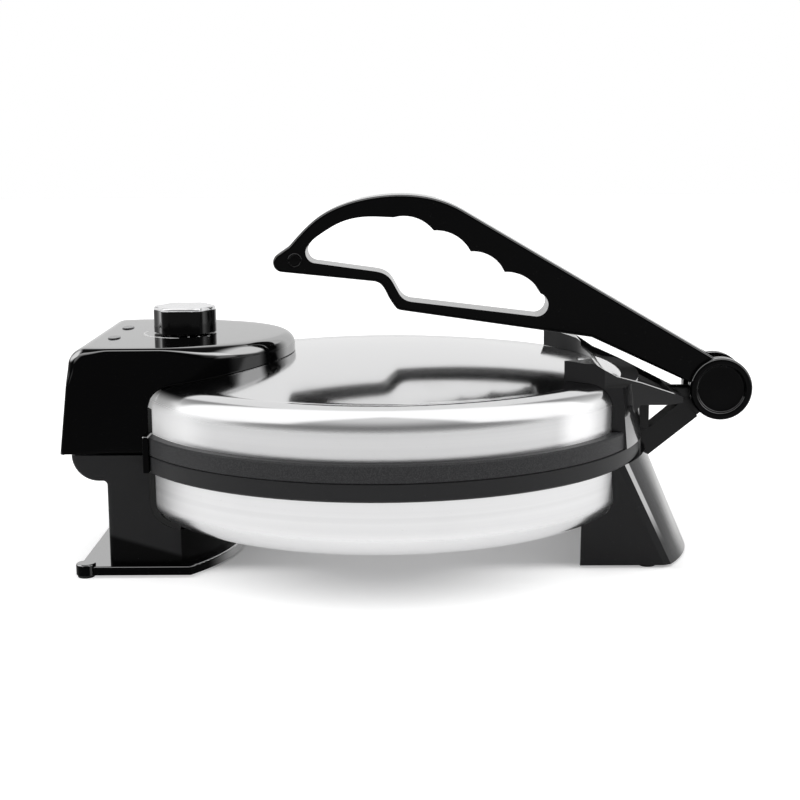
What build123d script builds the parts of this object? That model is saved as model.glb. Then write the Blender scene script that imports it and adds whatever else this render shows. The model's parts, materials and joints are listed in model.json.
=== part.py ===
"""Electric roti maker with a hinged lid, a pressing handle and a thermostat knob.

Heights are measured from the parting seam of the two plastic rings (z = 0), and x from the axis of
the two pans, with the control box at -X and the hinge at +X. put() moves each finished sub-part to
the final frame, whose origin is on the floor below the middle of the whole object.
"""
from build123d import *
import os
from math import cos, hypot, radians, sin, sqrt

# ---- Driving dimensions, in millimetres ----

# Overall
RING_R = 135.0              # outside of both plastic rings
FLOOR_Z = -64.0             # underside of the rubber pads
PIVOT_REACH = 42.1          # hinge axis behind the rings' rear edge
PIVOT_DROP = 11.6           # hinge axis below the lid's shoulder
SEAM_TURN_DEG = 50.0        # turned solids start here, away from every hole

# Fits between pieces
SEAM_GAP = 0.3              # between the closed rings
SEAT_GAP = 0.1              # between pieces that are fastened together on curved faces
RUN_CLEARANCE = 0.05        # radial, shaft in bore
SIDE_CLEARANCE = 0.4        # axial, between hinge leaves

# Steel lid and pan
SHEET = 0.8
RING_PROUD = 5.5            # the rings stand out from the lid's wall
PAN_STEP = 0.5              # the pan's wall is set in from the lid's
SHOULDER_R = 12.0
SHOULDER_Z = 33.6           # where the rolled shoulder meets the crown
CROWN_RISE = 10.0           # of the crown's middle above the shoulder
PAN_BOTTOM_Z = -37.5
PAN_CORNER_R = 12.0

# Rings
RING_UP_Z = 8.9
RING_LOW_Z = -8.7
LEDGE_W = 4.0
LEDGE_T = 3.0

# Cooking plates and what heats them
PLATE_GAP = 2.0             # between the two cooking faces
PLATE_T = 5.5
PLATE_RIM_T = 2.0
PLATE_EASE = 0.2
PLATE_STEP = 8.5            # from the ledge's bore to the plate's thick part
STUD_R = 5.0
STUD_IN = 21.3              # stud circle inside the plate's edge
SHIELD_Z = 20.0             # the heat shield's distance from the seam
SHIELD_T = 0.6
SHIELD_RIM = 13.0           # of the shield beyond the stud circle
HEATER_TUBE_R = 3.3
HEATER_IN = 16.0            # heater loop inside the stud circle
HEATER_SPREAD_DEG = 15.0    # from the front to each heater end
HEATER_PIN_R = 1.5
HEATER_PIN_LENGTH = 11.0
HEATER_COLD_GAP = 4.0       # the sheath ends below the shield
HEATER_HOLE_EASE = 2.0
CLIP_T = 0.8
CLIP_W = 9.0
CLIP_EASE = 0.25            # the straight clip on the curved tube
FUSE_X = 45.0
FUSE_R = 3.0
FUSE_LENGTH = 24.0
FUSE_CLIP_W = 8.0
FUSE_CLIP_TAB = 9.0
SMALL_SCREW_R = 1.5
SCREW_R = 1.8
SCREW_HEAD_R = 3.2
SCREW_HEAD_T = 2.0

# Control box
BOX_HALF_W = 60.0
BOX_FRONT_REACH = 27.0      # its front foot ahead of the rings
BOX_FRONT_LEAN = 6.5        # its front face leans back over its height
BOX_RISE = 18.4             # its top above the lid's shoulder
BOX_BOTTOM_Z = -1.3
BOX_TONGUE_IN = 27.3        # centre of the round tongue, behind the rings' front edge
BOX_WALL = 2.5
BOX_BROW_R = 9.0
BOX_EDGE_R = 3.0
BOX_FLOOR_T = 2.0
BOX_SEAL_T = 2.0            # strip between the box and the steel wall
BOX_DOME_GAP = 0.2
BOX_POST_R = 4.0
BOX_POST_BACK = 13.1        # screw posts behind the upper edge of the front
BOX_POST_IN = 10.0          # and inside the side walls
BOX_SCREW_DEPTH = 10.0
KNOB_IN = 29.2              # knob axis behind the rings' front edge
KNOB_R = 16.5
KNOB_H = 14.5               # its top above the box
KNOB_LIFT = 0.5             # knob skirt above the box
KNOB_CAP_T = 2.0
KNOB_FLUTE_R = 12.0
KNOB_FLUTE_DEPTH = 1.6
KNOB_FLUTES = 6
KNOB_WALL = 2.5
SHAFT_R = 3.0
BUSH_WALL = 1.5
BUSH_PROUD = 0.5            # above its nut
NUT_RIM = 2.5
NUT_T = 2.0
SHAFT_IN = 4.0              # shaft's depth in the thermostat
SHAFT_GRIP = 2.0            # shaft's end below the knob's cap
THERMOSTAT_SIZE = (28.0, 26.0, 8.5)
SENSOR_R = 2.0
LAMP_AHEAD = 5.0            # lamp centres ahead of the rings' front edge
LAMP_SIDE = 20.0
LAMP_LENGTH = 12.0
LAMP_WIDTH = 6.5
LAMP_PROUD = 0.6
LAMP_FLANGE = 1.5
LAMP_HOLDER_H = 12.0
BULB_R = 2.5
TAB_W = 3.3                 # the rings' front tabs
TAB_DEPTH = 12.0
TAB_Z = (-8.3, 10.2)

# Rear lid bracket
BRACKET_HALF_W = 62.0
BRACKET_FRONT_IN = 60.0     # front of the horns, ahead of the rings' rear edge
BRACKET_FLANK_IN = 25.0     # where the flanks begin to close in
BRACKET_ARM_END = 19.3      # end of the arm ahead of the hinge axis
BRACKET_NOTCH_R = 92.0
BRACKET_NOTCH_IN = 113.0    # notch centre ahead of the rings' rear edge
BRACKET_WALL = 3.0
BRACKET_DISH = 3.0
ARM_HALF_W = 20.0           # the arm where it reaches the hinge barrel
SKIRT_OUT = 1.5             # its lower edge outside the rings
SKIRT_TAPER = 2.3
SKIRT_DROP = 2.6            # its upper edge below the lid's shoulder
RIB_X = (-2.0, 5.0)         # upright rib behind the skirt, from the rings' rear edge

# Hinge barrel
BARREL_R = 16.4
KNUCKLE_R = 12.0
STRUT_LEAF_HALF = 3.4
LUG_T = 3.4
PIN_R = 4.0
CLIP_GROOVE = 0.6
CLIP_RING_T = 0.9
CLIP_MOUTH = 4.0
PIN_END_GAP = 0.2
CAP_T = 4.2
CAP_RIM = 4.0
CAP_RECESS_DEPTH = 1.6
CAP_EDGE_R = 1.2
CLIP_RING_W = 2.4           # of the spring clip outside the pin
CAP_POCKET_EASE = 1.1
CAP_POCKET_DEPTH = 1.7

# Handle
HANDLE_HALF_W = 11.0
HANDLE_EDGE_R = 1.6
HANDLE_SCALLOP_RISE = 3.3
PLUG_R = 3.8
PLUG_T = 1.5
PLUG_PROUD = 0.3
HANDLE_SCREW_IN = 4.0       # screw ends inside the handle's side faces

# Base: front leg, foot plate, rear foot and strut
LEG_BOX_GAP = 0.7           # between the leg's nose and the control box
LEG_NOSE_REACH = 21.6       # nose ahead of the rings
LEG_NOSE_R = 13.5
LEG_FACE_REACH = 4.2        # leg face ahead of the rings
LEG_REAR_IN = 32.4          # leg's rear face behind the rings' front edge
LEG_CORNER_R = 3.0
LEG_BOW_IN = 56.0           # middle of the leg's bowed rear wall, behind the rings' front edge
LEG_STEP_R = 2.0            # under the nose
WINDOW_HALF = 12.0          # wire window in the leg and the pan
LEG_SEAL_T = 3.0
LEG_SEAL_W = 4.0
LEG_WALL = 3.0
PAD_T = 1.5
FOOT_T = 4.5
FOOT_SIDE_OUT = 5.6         # foot plate beyond the leg's side
FOOT_BEVEL = (8.0, 7.0)
FOOT_EDGE_R = 0.8
FOOT_POST_RISE = 1.2
FOOT_FRONT_REACH = 19.0
FOOT_APEX_IN = 59.0
FOOT_CORNER_IN = 37.7
FOOT_POST_R = 5.0
FOOT_POST_OUT = 2.0         # post centres beyond the leg's side
FOOT_POST_REACH = 15.7
PAD_R = 4.3
REAR_FRONT_IN = 35.0
REAR_TOP_HALF = 60.0
REAR_LOW_HALF = 52.0
REAR_TOP_SIDE_IN = 15.1     # rear edge of the side wall at the top, inside the rings' rear edge
REAR_LOW_SIDE_OUT = 10.5
REAR_TOP_OUT = 3.4          # middle of the rear wall beyond the rings, at the top
REAR_LOW_OUT = 26.0
REAR_WALL = 3.0
REAR_EDGE = 2.2             # flat along each rear corner
REAR_PAD_SIDE = 46.0
REAR_POST_H = 13.0          # posts over the rear pads
BOSS_R = 5.0
POST_H = 8.0
POST_SINK = 1.0             # posts and bosses reach into the wall behind them
LEG_POST_SIDE = 40.0
SCREW_SINK = 0.3            # heads below the foot plate's underside
STRUT_HALF_W = 6.8
STRUT_CLEAR_R = 19.0
GLAND_R = 7.0
GLAND_BORE_R = 3.6
GLAND_LENGTH = 14.0
GLAND_PROUD = 4.0
GLAND_FLANGE = 2.5
GLAND_FLANGE_T = 2.0
GLAND_NUT_T = 3.0
GLAND_IN = 12.0             # gland axis behind the rings' front edge
GLAND_H = 11.0              # gland axis above the foot plate
TERMINAL_SIZE = (16.0, 34.0, 12.0)

# ---- Places worked out from them ----
FRONT = -RING_R
REAR = RING_R
CROWN_Z = SHOULDER_Z + CROWN_RISE
PIVOT_Z = SHOULDER_Z - PIVOT_DROP
LID_R = RING_R - RING_PROUD
PAN_R = LID_R - PAN_STEP
LEDGE_R = LID_R - LEDGE_W
PLATE_R = LEDGE_R - PLATE_EASE
PLATE_RIM_R = LID_R - LEDGE_W / 2
PLATE_FACE_Z = PLATE_GAP / 2
PLATE_BACK_Z = PLATE_FACE_Z + PLATE_T
STUD_CIRCLE_R = PLATE_R - STUD_IN
SHIELD_R = STUD_CIRCLE_R + SHIELD_RIM
HEATER_LOOP_R = STUD_CIRCLE_R - HEATER_IN
PIVOT_X = REAR + PIVOT_REACH
REAR_PAD_X = REAR
GLAND_X = FRONT + GLAND_IN
BOX_FRONT_X = FRONT - BOX_FRONT_REACH
BOX_TOP_Z = SHOULDER_Z + BOX_RISE
BOX_BROW_X = BOX_FRONT_X + BOX_FRONT_LEAN
BOX_TONGUE_X = FRONT + BOX_TONGUE_IN
BOX_ROOF_Z = BOX_TOP_Z - BOX_WALL
BOX_FLOOR_Z = BOX_BOTTOM_Z + BOX_FLOOR_T
KNOB_X = FRONT + KNOB_IN
KNOB_BASE_Z = BOX_TOP_Z + KNOB_LIFT
KNOB_TOP_Z = BOX_TOP_Z + KNOB_H
KNOB_SEAT_Z = KNOB_TOP_Z - KNOB_CAP_T
BUSH_R = SHAFT_R + BUSH_WALL
NUT_R = BUSH_R + NUT_RIM
LAMP_X = FRONT - LAMP_AHEAD
# The rings' visible belts end in front where a tab stands between them and the box's side.
BELT_CUT_X = -sqrt(RING_R ** 2 - (BOX_HALF_W + TAB_DEPTH - 1.1) ** 2)
LUG_INNER = STRUT_LEAF_HALF + SIDE_CLEARANCE
LUG_OUTER = LUG_INNER + LUG_T
CHEEK_INNER = LUG_OUTER + SIDE_CLEARANCE
CAP_INNER = HANDLE_HALF_W
CAP_POCKET_R = PIN_R + CLIP_RING_W + CAP_POCKET_EASE
CAP_RECESS_R = BARREL_R - CAP_RIM
LEG_HALF_W = BOX_HALF_W
LEG_TOP_Z = BOX_BOTTOM_Z - LEG_BOX_GAP
FOOT_LOW_Z = FLOOR_Z + PAD_T
FOOT_TOP_Z = FOOT_LOW_Z + FOOT_T
FOOT_HALF_W = LEG_HALF_W + FOOT_SIDE_OUT
FOOT_POST_SIDE = LEG_HALF_W + FOOT_POST_OUT
GLAND_Z = FOOT_TOP_Z + GLAND_H
WINDOW_Z = (PAN_BOTTOM_Z + PAN_CORNER_R + 1, RING_LOW_Z - 3)
MID_X = (BOX_FRONT_X + PIVOT_X + BARREL_R) / 2


def put(part, node):
    """Writes one sub-part, moved to the final frame, under its node's name."""
    moved = Pos(-MID_X, 0, -FLOOR_Z) * part
    export_step(moved, f"parts/{node}.step")


def outline(*edges):
    """A flat face from edges that follow each other round."""
    return make_face(Curve() + list(edges))


def turned(*edges):
    """The solid swept round Z by an outline drawn in (radius, height)."""
    return Rot(0, 0, SEAM_TURN_DEG) * revolve(Plane.XZ * outline(*edges), Axis.Z)


def disc(radius, low, high):
    """A round slab on the pans' axis."""
    return Pos(0, 0, (low + high) / 2) * Cylinder(radius, high - low)


def tube(outer, inner, low, high):
    """A ring with a rectangular section."""
    return disc(outer, low, high) - disc(inner, low - 1, high + 1)


def block(x, y, z):
    """A box given by its limits along each axis."""
    size = (x[1] - x[0], y[1] - y[0], z[1] - z[0])
    middle = ((x[0] + x[1]) / 2, (y[0] + y[1]) / 2, (z[0] + z[1]) / 2)
    return Pos(*middle) * Box(*size)


def slab(face, y_from, y_to):
    """A face drawn in (x, z), made solid from one distance along Y to another."""
    side = Plane((0, y_from, 0), x_dir=(1, 0, 0), z_dir=(0, -1, 0))
    return extrude(side * face, amount=y_to - y_from, dir=(0, 1, 0))


def pillar(face, low, high):
    """A face drawn in (x, y), made solid from one height to another."""
    return extrude(Pos(0, 0, low) * face, amount=high - low)


def cross_bar(x, z, radius, y_from, y_to):
    """A cylinder along Y."""
    return Pos(x, (y_from + y_to) / 2, z) * Rot(90, 0, 0) * Cylinder(radius, abs(y_to - y_from))


def both_sides(part):
    """The part and its mirror image across the XZ plane."""
    return Compound(children=[part, mirror(part, Plane.XZ)])


def below(part):
    """The same part for the base, turned over about the X axis."""
    return Rot(180, 0, 0) * part


def group(parts):
    """Several separate solids under one node."""
    return Compound(children=list(parts))


def crown_edges(radius, corner, wall_out, crown_out, foot_z):
    """Outline of a domed solid: wall, rolled shoulder and crown, moved outwards by the two offsets."""
    wall = radius + wall_out
    shoulder_x = radius - corner
    centre_z = SHOULDER_Z - corner
    end_z = SHOULDER_Z + crown_out
    mean = corner + (wall_out + crown_out) / 2
    middle = (shoulder_x + mean * cos(radians(45)), centre_z + mean * sin(radians(45)))
    rise = CROWN_Z - SHOULDER_Z
    crown_r = (shoulder_x ** 2 + rise ** 2) / (2 * rise)
    half = shoulder_x / 2
    crown_mid = (half, CROWN_Z + crown_out - crown_r + sqrt(crown_r ** 2 - half ** 2))
    return [
        Line((0, foot_z), (wall, foot_z)),
        Line((wall, foot_z), (wall, centre_z)),
        ThreePointArc((wall, centre_z), middle, (shoulder_x, end_z)),
        ThreePointArc((shoulder_x, end_z), crown_mid, (0, CROWN_Z + crown_out)),
        Line((0, CROWN_Z + crown_out), (0, foot_z)),
    ]


def lid_body(wall_out, crown_out, foot_z):
    """The lid's outside as a full solid, moved out or in."""
    return turned(*crown_edges(LID_R, SHOULDER_R, wall_out, crown_out, foot_z))


def pan_body(out, top_z):
    """The pan's outside as a full solid, moved out or in."""
    wall = PAN_R + out
    bottom = PAN_BOTTOM_Z - out
    corner = PAN_CORNER_R + out
    arc_x = PAN_R - PAN_CORNER_R
    arc_z = PAN_BOTTOM_Z + PAN_CORNER_R
    middle = (arc_x + corner * cos(radians(45)), arc_z - corner * sin(radians(45)))
    return turned(
        Line((0, top_z), (wall, top_z)),
        Line((wall, top_z), (wall, arc_z)),
        ThreePointArc((wall, arc_z), middle, (arc_x, bottom)),
        Line((arc_x, bottom), (0, bottom)),
        Line((0, bottom), (0, top_z)),
    )


# ---- Fasteners ----

def upright_screw(x, y, head_z, tip_z, shank=SCREW_R):
    """A pan-head screw along Z; the head lies beyond head_z, on the side away from the tip."""
    way = 1 if head_z > tip_z else -1
    head = Pos(x, y, head_z + way * SCREW_HEAD_T / 2) * Cylinder(SCREW_HEAD_R, SCREW_HEAD_T)
    body = Pos(x, y, (head_z + tip_z) / 2) * Cylinder(shank, abs(head_z - tip_z))
    return head + body


def radial_screw(angle, height, head_r, tip_r):
    """A screw that points away from the pans' axis, with its head inside head_r."""
    shank = Pos((head_r + tip_r) / 2, 0, height) * Rot(0, 90, 0) * Cylinder(SCREW_R, tip_r - head_r)
    head = Pos(head_r - SCREW_HEAD_T / 2, 0, height) * Rot(0, 90, 0) * Cylinder(SCREW_HEAD_R, SCREW_HEAD_T)
    return Rot(0, 0, angle) * (shank + head)


SHIELD_SCREWS = [
    Rot(0, 0, angle) * upright_screw(STUD_CIRCLE_R, 0, SHIELD_Z + SHIELD_T, SHIELD_Z - 8, SMALL_SCREW_R)
    for angle in (45, 135, 225, 315)
]
CLIP_ANGLES = (0, 90, 270)
CLIP_TAB = 8.0              # screw's distance from the heater tube
CLIP_SCREWS = [
    Rot(0, 0, angle) * upright_screw(HEATER_LOOP_R + side, 0, PLATE_BACK_Z + CLIP_T, PLATE_FACE_Z + 2,
                                     SMALL_SCREW_R)
    for angle in CLIP_ANGLES
    for side in (-CLIP_TAB, CLIP_TAB)
]
SKIRT_SCREW_Z = 15.0
SHELL_IN_R = LID_R - SHEET
PAN_IN_R = PAN_R - SHEET
PAN_SCREW_Z = -18.0
BRACKET_SCREWS = [radial_screw(angle, SKIRT_SCREW_Z, SHELL_IN_R, LID_R + 4) for angle in (-18, -9, 9, 18)]
REAR_SCREW_ANGLES = (-15, 15)
LEG_SCREW_ANGLES = (170, 190)
LEG_BOSS_OUT = 14.0
REAR_SCREWS = [radial_screw(angle, PAN_SCREW_Z, PAN_IN_R, PAN_R + 6) for angle in REAR_SCREW_ANGLES]
LEG_SCREWS = [radial_screw(angle, PAN_SCREW_Z, PAN_IN_R, PAN_R + 12) for angle in LEG_SCREW_ANGLES]
STRUT_SCREWS = [radial_screw(0, height, PAN_IN_R, PAN_R + 7) for height in (-15, -23)]


def pan_boss(angle, end_r):
    """A screw boss that stands on the pan's wall, as far out as end_r."""
    boss = Pos((PAN_R + end_r) / 2 - POST_SINK / 2, 0, PAN_SCREW_Z) * Rot(0, 90, 0)
    return Rot(0, 0, angle) * boss * Cylinder(BOSS_R, end_r - PAN_R + POST_SINK)


# ---- Heating, drawn for the lid and mirrored for the base ----

def plate():
    """Cast cooking plate with a thin rim that lies on the ring's ledge, and four studs."""
    body = disc(PLATE_R, PLATE_FACE_Z, LEDGE_T)
    body += disc(PLATE_RIM_R, LEDGE_T, LEDGE_T + PLATE_RIM_T)
    body += disc(PLATE_R - PLATE_STEP, LEDGE_T + PLATE_RIM_T, PLATE_BACK_Z)
    for angle in (45, 135, 225, 315):
        height = SHIELD_Z - PLATE_BACK_Z
        stud = Pos(STUD_CIRCLE_R, 0, PLATE_BACK_Z + height / 2) * Cylinder(STUD_R, height)
        body += Rot(0, 0, angle) * stud
    for screw in SHIELD_SCREWS + CLIP_SCREWS:
        body -= screw
    return body


def heater():
    """Tubular heater: an open loop on the plate's back, with two upright ends and their pins."""
    centre_z = PLATE_BACK_Z + HEATER_TUBE_R
    section = Plane.XZ * Pos(HEATER_LOOP_R, centre_z) * Circle(HEATER_TUBE_R)
    sweep_deg = 360 - 2 * HEATER_SPREAD_DEG
    loop = Rot(0, 0, HEATER_SPREAD_DEG - 180) * revolve(section, Axis.Z, sweep_deg)
    cold_z = SHIELD_Z - HEATER_COLD_GAP
    pin_z = cold_z + HEATER_PIN_LENGTH
    for side in (-1, 1):
        angle = radians(180 + side * HEATER_SPREAD_DEG)
        x = HEATER_LOOP_R * cos(angle)
        y = HEATER_LOOP_R * sin(angle)
        loop += Pos(x, y, centre_z) * Sphere(HEATER_TUBE_R)
        loop += Pos(x, y, (centre_z + cold_z) / 2) * Cylinder(HEATER_TUBE_R, cold_z - centre_z)
        loop += Pos(x, y, (cold_z + pin_z) / 2) * Cylinder(HEATER_PIN_R, HEATER_PIN_LENGTH)
    return loop


def heater_clips():
    """Strap clips that hold the heater down, each with two screw tabs."""
    inner = HEATER_TUBE_R + CLIP_EASE
    outer = inner + CLIP_T
    arch = Circle(outer) - Circle(inner) - Pos(0, -outer) * Rectangle(3 * outer, 2 * outer)
    leg_h = HEATER_TUBE_R
    tab_w = CLIP_TAB + SCREW_HEAD_R - inner
    for side in (-1, 1):
        arch += Pos(side * (inner + CLIP_T / 2), -leg_h / 2) * Rectangle(CLIP_T, leg_h)
        arch += Pos(side * (inner + tab_w / 2), CLIP_T / 2 - leg_h) * Rectangle(tab_w, CLIP_T)
    strap = slab(arch, -CLIP_W / 2, CLIP_W / 2)
    clips = []
    for angle in CLIP_ANGLES:
        clip = Rot(0, 0, angle) * Pos(HEATER_LOOP_R, 0, PLATE_BACK_Z + HEATER_TUBE_R) * strap
        for screw in CLIP_SCREWS:
            clip -= screw
        clips.append(clip)
    return group(clips)


def heat_shield():
    """Thin reflector on the plate's studs, pierced for the heater pins, the screws and the sensor."""
    body = disc(SHIELD_R, SHIELD_Z, SHIELD_Z + SHIELD_T)
    for side in (-1, 1):
        angle = radians(180 + side * HEATER_SPREAD_DEG)
        spot = Pos(HEATER_LOOP_R * cos(angle), HEATER_LOOP_R * sin(angle), SHIELD_Z)
        body -= spot * Cylinder(HEATER_TUBE_R + HEATER_HOLE_EASE, 4 * SHIELD_T)
    for screw in SHIELD_SCREWS:
        body -= screw
    return body


def sensor_hole():
    """Clearance for the thermostat's sensor rod."""
    return Pos(KNOB_X, 0, CROWN_Z / 2) * Cylinder(SENSOR_R + 0.5, 2 * CROWN_Z)


# ---- Lid ----

def lid_shell():
    """Spun steel cover with a wire window behind the control box."""
    body = lid_body(0, 0, LEDGE_T) - lid_body(-SHEET, -SHEET, LEDGE_T - 1)
    body -= block((FRONT, FRONT + 20), (-15, 15), (RING_UP_Z + 2, SHOULDER_Z - SHOULDER_R))
    body -= sensor_hole()
    for screw in BRACKET_SCREWS:
        body -= screw
    return body


def ring(wall_r):
    """Plastic ring: a ledge for the plate and a visible belt round the steel wall's edge."""
    low = SEAM_GAP / 2
    edge_z = RING_UP_Z if wall_r == LID_R else -RING_LOW_Z
    chamfer_w = 0.8
    seat = wall_r + SEAT_GAP
    return turned(
        Polyline(
            (LEDGE_R, low), (RING_R - chamfer_w / 2, low), (RING_R, low + chamfer_w / 2),
            (RING_R, edge_z - chamfer_w), (RING_R - chamfer_w, edge_z), (seat, edge_z),
            (seat, LEDGE_T), (LEDGE_R, LEDGE_T), (LEDGE_R, low),
        )
    )


def belt_front_cut(wall_r, front_x):
    """What the control box and the leg take out of a ring's belt at the front."""
    zone = block((FRONT - 50, front_x), (-RING_R, RING_R), (-50, 50))
    return zone - disc(wall_r + SEAT_GAP, -50, 50)


def lid_ring():
    """Upper ring, its belt open where the control box and the rear bracket stand."""
    body = ring(LID_R) - belt_front_cut(LID_R, BELT_CUT_X)
    rear = block((0, REAR + 50), (-BRACKET_HALF_W - SEAT_GAP, BRACKET_HALF_W + SEAT_GAP), (-50, 50))
    return body - (rear - disc(LID_R + SEAT_GAP, -50, 50))


def box_plan(inset):
    """Plan of the control box: straight sides and a round tongue."""
    half = BOX_HALF_W - inset
    straight = (BOX_FRONT_X - 10, BOX_TONGUE_X)
    middle = (straight[0] + straight[1]) / 2
    sides = Pos(middle, 0) * Rectangle(straight[1] - straight[0], 2 * half)
    return sides + Pos(BOX_TONGUE_X, 0) * Circle(half)


def box_solid(inset, bottom_z):
    """The control box's outside, or its hollow when inset by the wall."""
    lean = BOX_FRONT_LEAN / (BOX_TOP_Z - BOX_BOTTOM_Z)
    top = BOX_TOP_Z - inset
    x_low = BOX_FRONT_X + inset + lean * (bottom_z - BOX_BOTTOM_Z)
    x_high = BOX_FRONT_X + inset + lean * (top - BOX_BOTTOM_Z)
    x_end = BOX_TONGUE_X + BOX_HALF_W + 1
    side = make_face(Polyline((x_low, bottom_z), (x_high, top), (x_end, top), (x_end, bottom_z), close=True))
    brow = side.vertices().sort_by(Axis.Y)[-2:].sort_by(Axis.X)[0]
    side = fillet(brow, BOX_BROW_R - inset)
    return pillar(box_plan(inset), bottom_z - 1, BOX_TOP_Z + 1) & slab(side, -BOX_HALF_W - 1, BOX_HALF_W + 1)


def box_edge_chain(body):
    """The box's upper edges: along both sides, down the front corners and round the tongue."""
    top_face = body.faces().sort_by(Axis.Z)[-1]
    chain = list(top_face.edges().filter_by(lambda e: e.center().X > BOX_BROW_X + BOX_BROW_R))
    for edge in body.edges():
        middle = edge @ 0.5
        on_side = abs(abs(middle.Y) - BOX_HALF_W) < 0.01
        if on_side and middle.X < BOX_TONGUE_X - 1 and middle.Z > BOX_BOTTOM_Z + 1:
            chain.append(edge)
    seen = []
    for edge in chain:
        if not any((edge @ 0.5 - other @ 0.5).length < 0.01 for other in seen):
            seen.append(edge)
    return seen


def box_posts():
    """Screw posts inside the box, from its roof to its floor."""
    posts = []
    for side in (-1, 1):
        spot = (BOX_BROW_X + BOX_POST_BACK, side * (BOX_HALF_W - BOX_POST_IN))
        height = BOX_ROOF_Z - BOX_FLOOR_Z
        posts.append(Pos(*spot, BOX_FLOOR_Z + height / 2) * Cylinder(BOX_POST_R, height))
    return posts


BOX_SCREWS = [
    upright_screw(BOX_BROW_X + BOX_POST_BACK, side * (BOX_HALF_W - BOX_POST_IN), BOX_FLOOR_Z,
                  BOX_FLOOR_Z + BOX_SCREW_DEPTH)
    for side in (-1, 1)
]


def lamp_solid(grow, low, high):
    """An oval lamp body between two heights."""
    lens = Ellipse(LAMP_WIDTH / 2 + grow, LAMP_LENGTH / 2 + grow)
    return pillar(Pos(LAMP_X, LAMP_SIDE) * lens, low, high)


def control_box():
    """Gloss cover over the thermostat, open below, its tongue lying on the lid's crown."""
    solid = box_solid(0, BOX_BOTTOM_Z)
    solid = fillet(box_edge_chain(solid), BOX_EDGE_R)
    body = solid - box_solid(BOX_WALL, BOX_BOTTOM_Z - 1)
    for post in box_posts():
        body += post
    body -= lid_body(BOX_SEAL_T, BOX_DOME_GAP, BOX_BOTTOM_Z - 2)
    for screw in BOX_SCREWS:
        body -= screw
    body -= Pos(KNOB_X, 0, BOX_TOP_Z) * Cylinder(BUSH_R + SEAT_GAP, 4 * BOX_WALL)
    return body - both_sides(lamp_solid(SEAT_GAP, BOX_TOP_Z - 2 * BOX_WALL, BOX_TOP_Z + 1))


def box_floor():
    """Flat cover under the box, cut to the steel wall."""
    face = box_plan(BOX_WALL + SEAT_GAP)
    plate_z = (BOX_BOTTOM_Z, BOX_BOTTOM_Z + BOX_FLOOR_T)
    body = pillar(face, *plate_z) & block((BOX_FRONT_X + BOX_WALL + 1, FRONT + 40), (-99, 99), (-9, 9))
    body -= disc(LID_R + BOX_SEAL_T, -9, 9)
    for screw in BOX_SCREWS:
        body -= screw
    return body


def box_seal():
    """Two rubber strips that close the gap between the box's side walls and the steel wall."""
    gap = tube(LID_R + BOX_SEAL_T - SEAT_GAP, LID_R + 2 * SEAT_GAP, BOX_BOTTOM_Z, SHOULDER_Z - SHOULDER_R)
    x = (FRONT, BELT_CUT_X - SEAT_GAP)
    near = gap & block(x, (-BOX_HALF_W, -BOX_HALF_W + 3 * BOX_WALL), (BOX_BOTTOM_Z, SHOULDER_Z))
    return both_sides(near)


def ring_tabs():
    """Upright tabs that key the two rings' front ends together, one on each side of the box."""
    face = Rectangle(TAB_W, TAB_DEPTH)
    face = fillet(face.vertices(), 0.8)
    centre_x = BELT_CUT_X - TAB_W / 2 - SEAT_GAP
    centre_y = BOX_HALF_W + 2 * SEAT_GAP + TAB_DEPTH / 2
    tab = pillar(Pos(centre_x, -centre_y) * face, *TAB_Z)
    tab = fillet(tab.faces().sort_by(Axis.Z)[-1].edges(), 1.0)
    return both_sides(tab - disc(LID_R + 2 * SEAT_GAP, TAB_Z[0] - 1, TAB_Z[1] + 1))


def thermostat():
    """Thermostat body under the box's roof, with its threaded bush through it."""
    length, width, height = THERMOSTAT_SIZE
    body = Pos(KNOB_X, 0, BOX_ROOF_Z - height / 2) * Box(length, width, height)
    body += Pos(KNOB_X, 0) * disc(BUSH_R, BOX_ROOF_Z, BOX_TOP_Z + NUT_T + BUSH_PROUD)
    return body - Pos(KNOB_X, 0) * disc(SHAFT_R + RUN_CLEARANCE, BOX_ROOF_Z - SHAFT_IN - 1, KNOB_TOP_Z)


def thermostat_nut():
    """Hexagon nut that clamps the bush to the box's roof."""
    nut = RegularPolygon(NUT_R, 6) - Circle(BUSH_R)
    return pillar(Pos(KNOB_X, 0) * nut, BOX_TOP_Z, BOX_TOP_Z + NUT_T)


def sensor_rod():
    """Rod that carries the plate's heat to the thermostat."""
    top = BOX_ROOF_Z - THERMOSTAT_SIZE[2]
    return Pos(KNOB_X, 0, (PLATE_BACK_Z + top) / 2) * Cylinder(SENSOR_R, top - PLATE_BACK_Z)


def lamps():
    """Two oval lenses with a flange under the box's roof."""
    low = BOX_ROOF_Z - LAMP_FLANGE
    lens = lamp_solid(0, low, BOX_TOP_Z + LAMP_PROUD)
    lens = fillet(lens.faces().sort_by(Axis.Z)[-1].edges(), LAMP_PROUD * 0.8)
    flange = lamp_solid(LAMP_FLANGE, low, BOX_ROOF_Z) & box_solid(BOX_WALL + SEAT_GAP, BOX_BOTTOM_Z)
    return both_sides(lens + flange)


def lamp_holders():
    """Blocks that hold a neon bulb under each lens."""
    top = BOX_ROOF_Z - LAMP_FLANGE
    body = lamp_solid(2.5, top - LAMP_HOLDER_H, top)
    return both_sides(body - Pos(LAMP_X, LAMP_SIDE) * disc(BULB_R, top - 2 * LAMP_HOLDER_H / 3, top + 1))


# ---- Knob ----

def knob_plan(inset):
    """Round outline with concave flutes, one of them on each side of the object."""
    face = Circle(KNOB_R - inset)
    reach = KNOB_R + KNOB_FLUTE_R - KNOB_FLUTE_DEPTH
    for step in range(KNOB_FLUTES):
        angle = radians(90 + step * 360 / KNOB_FLUTES)
        face -= Pos(reach * cos(angle), reach * sin(angle)) * Circle(KNOB_FLUTE_R + inset)
    return fillet(face.vertices(), 1.2)


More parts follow.
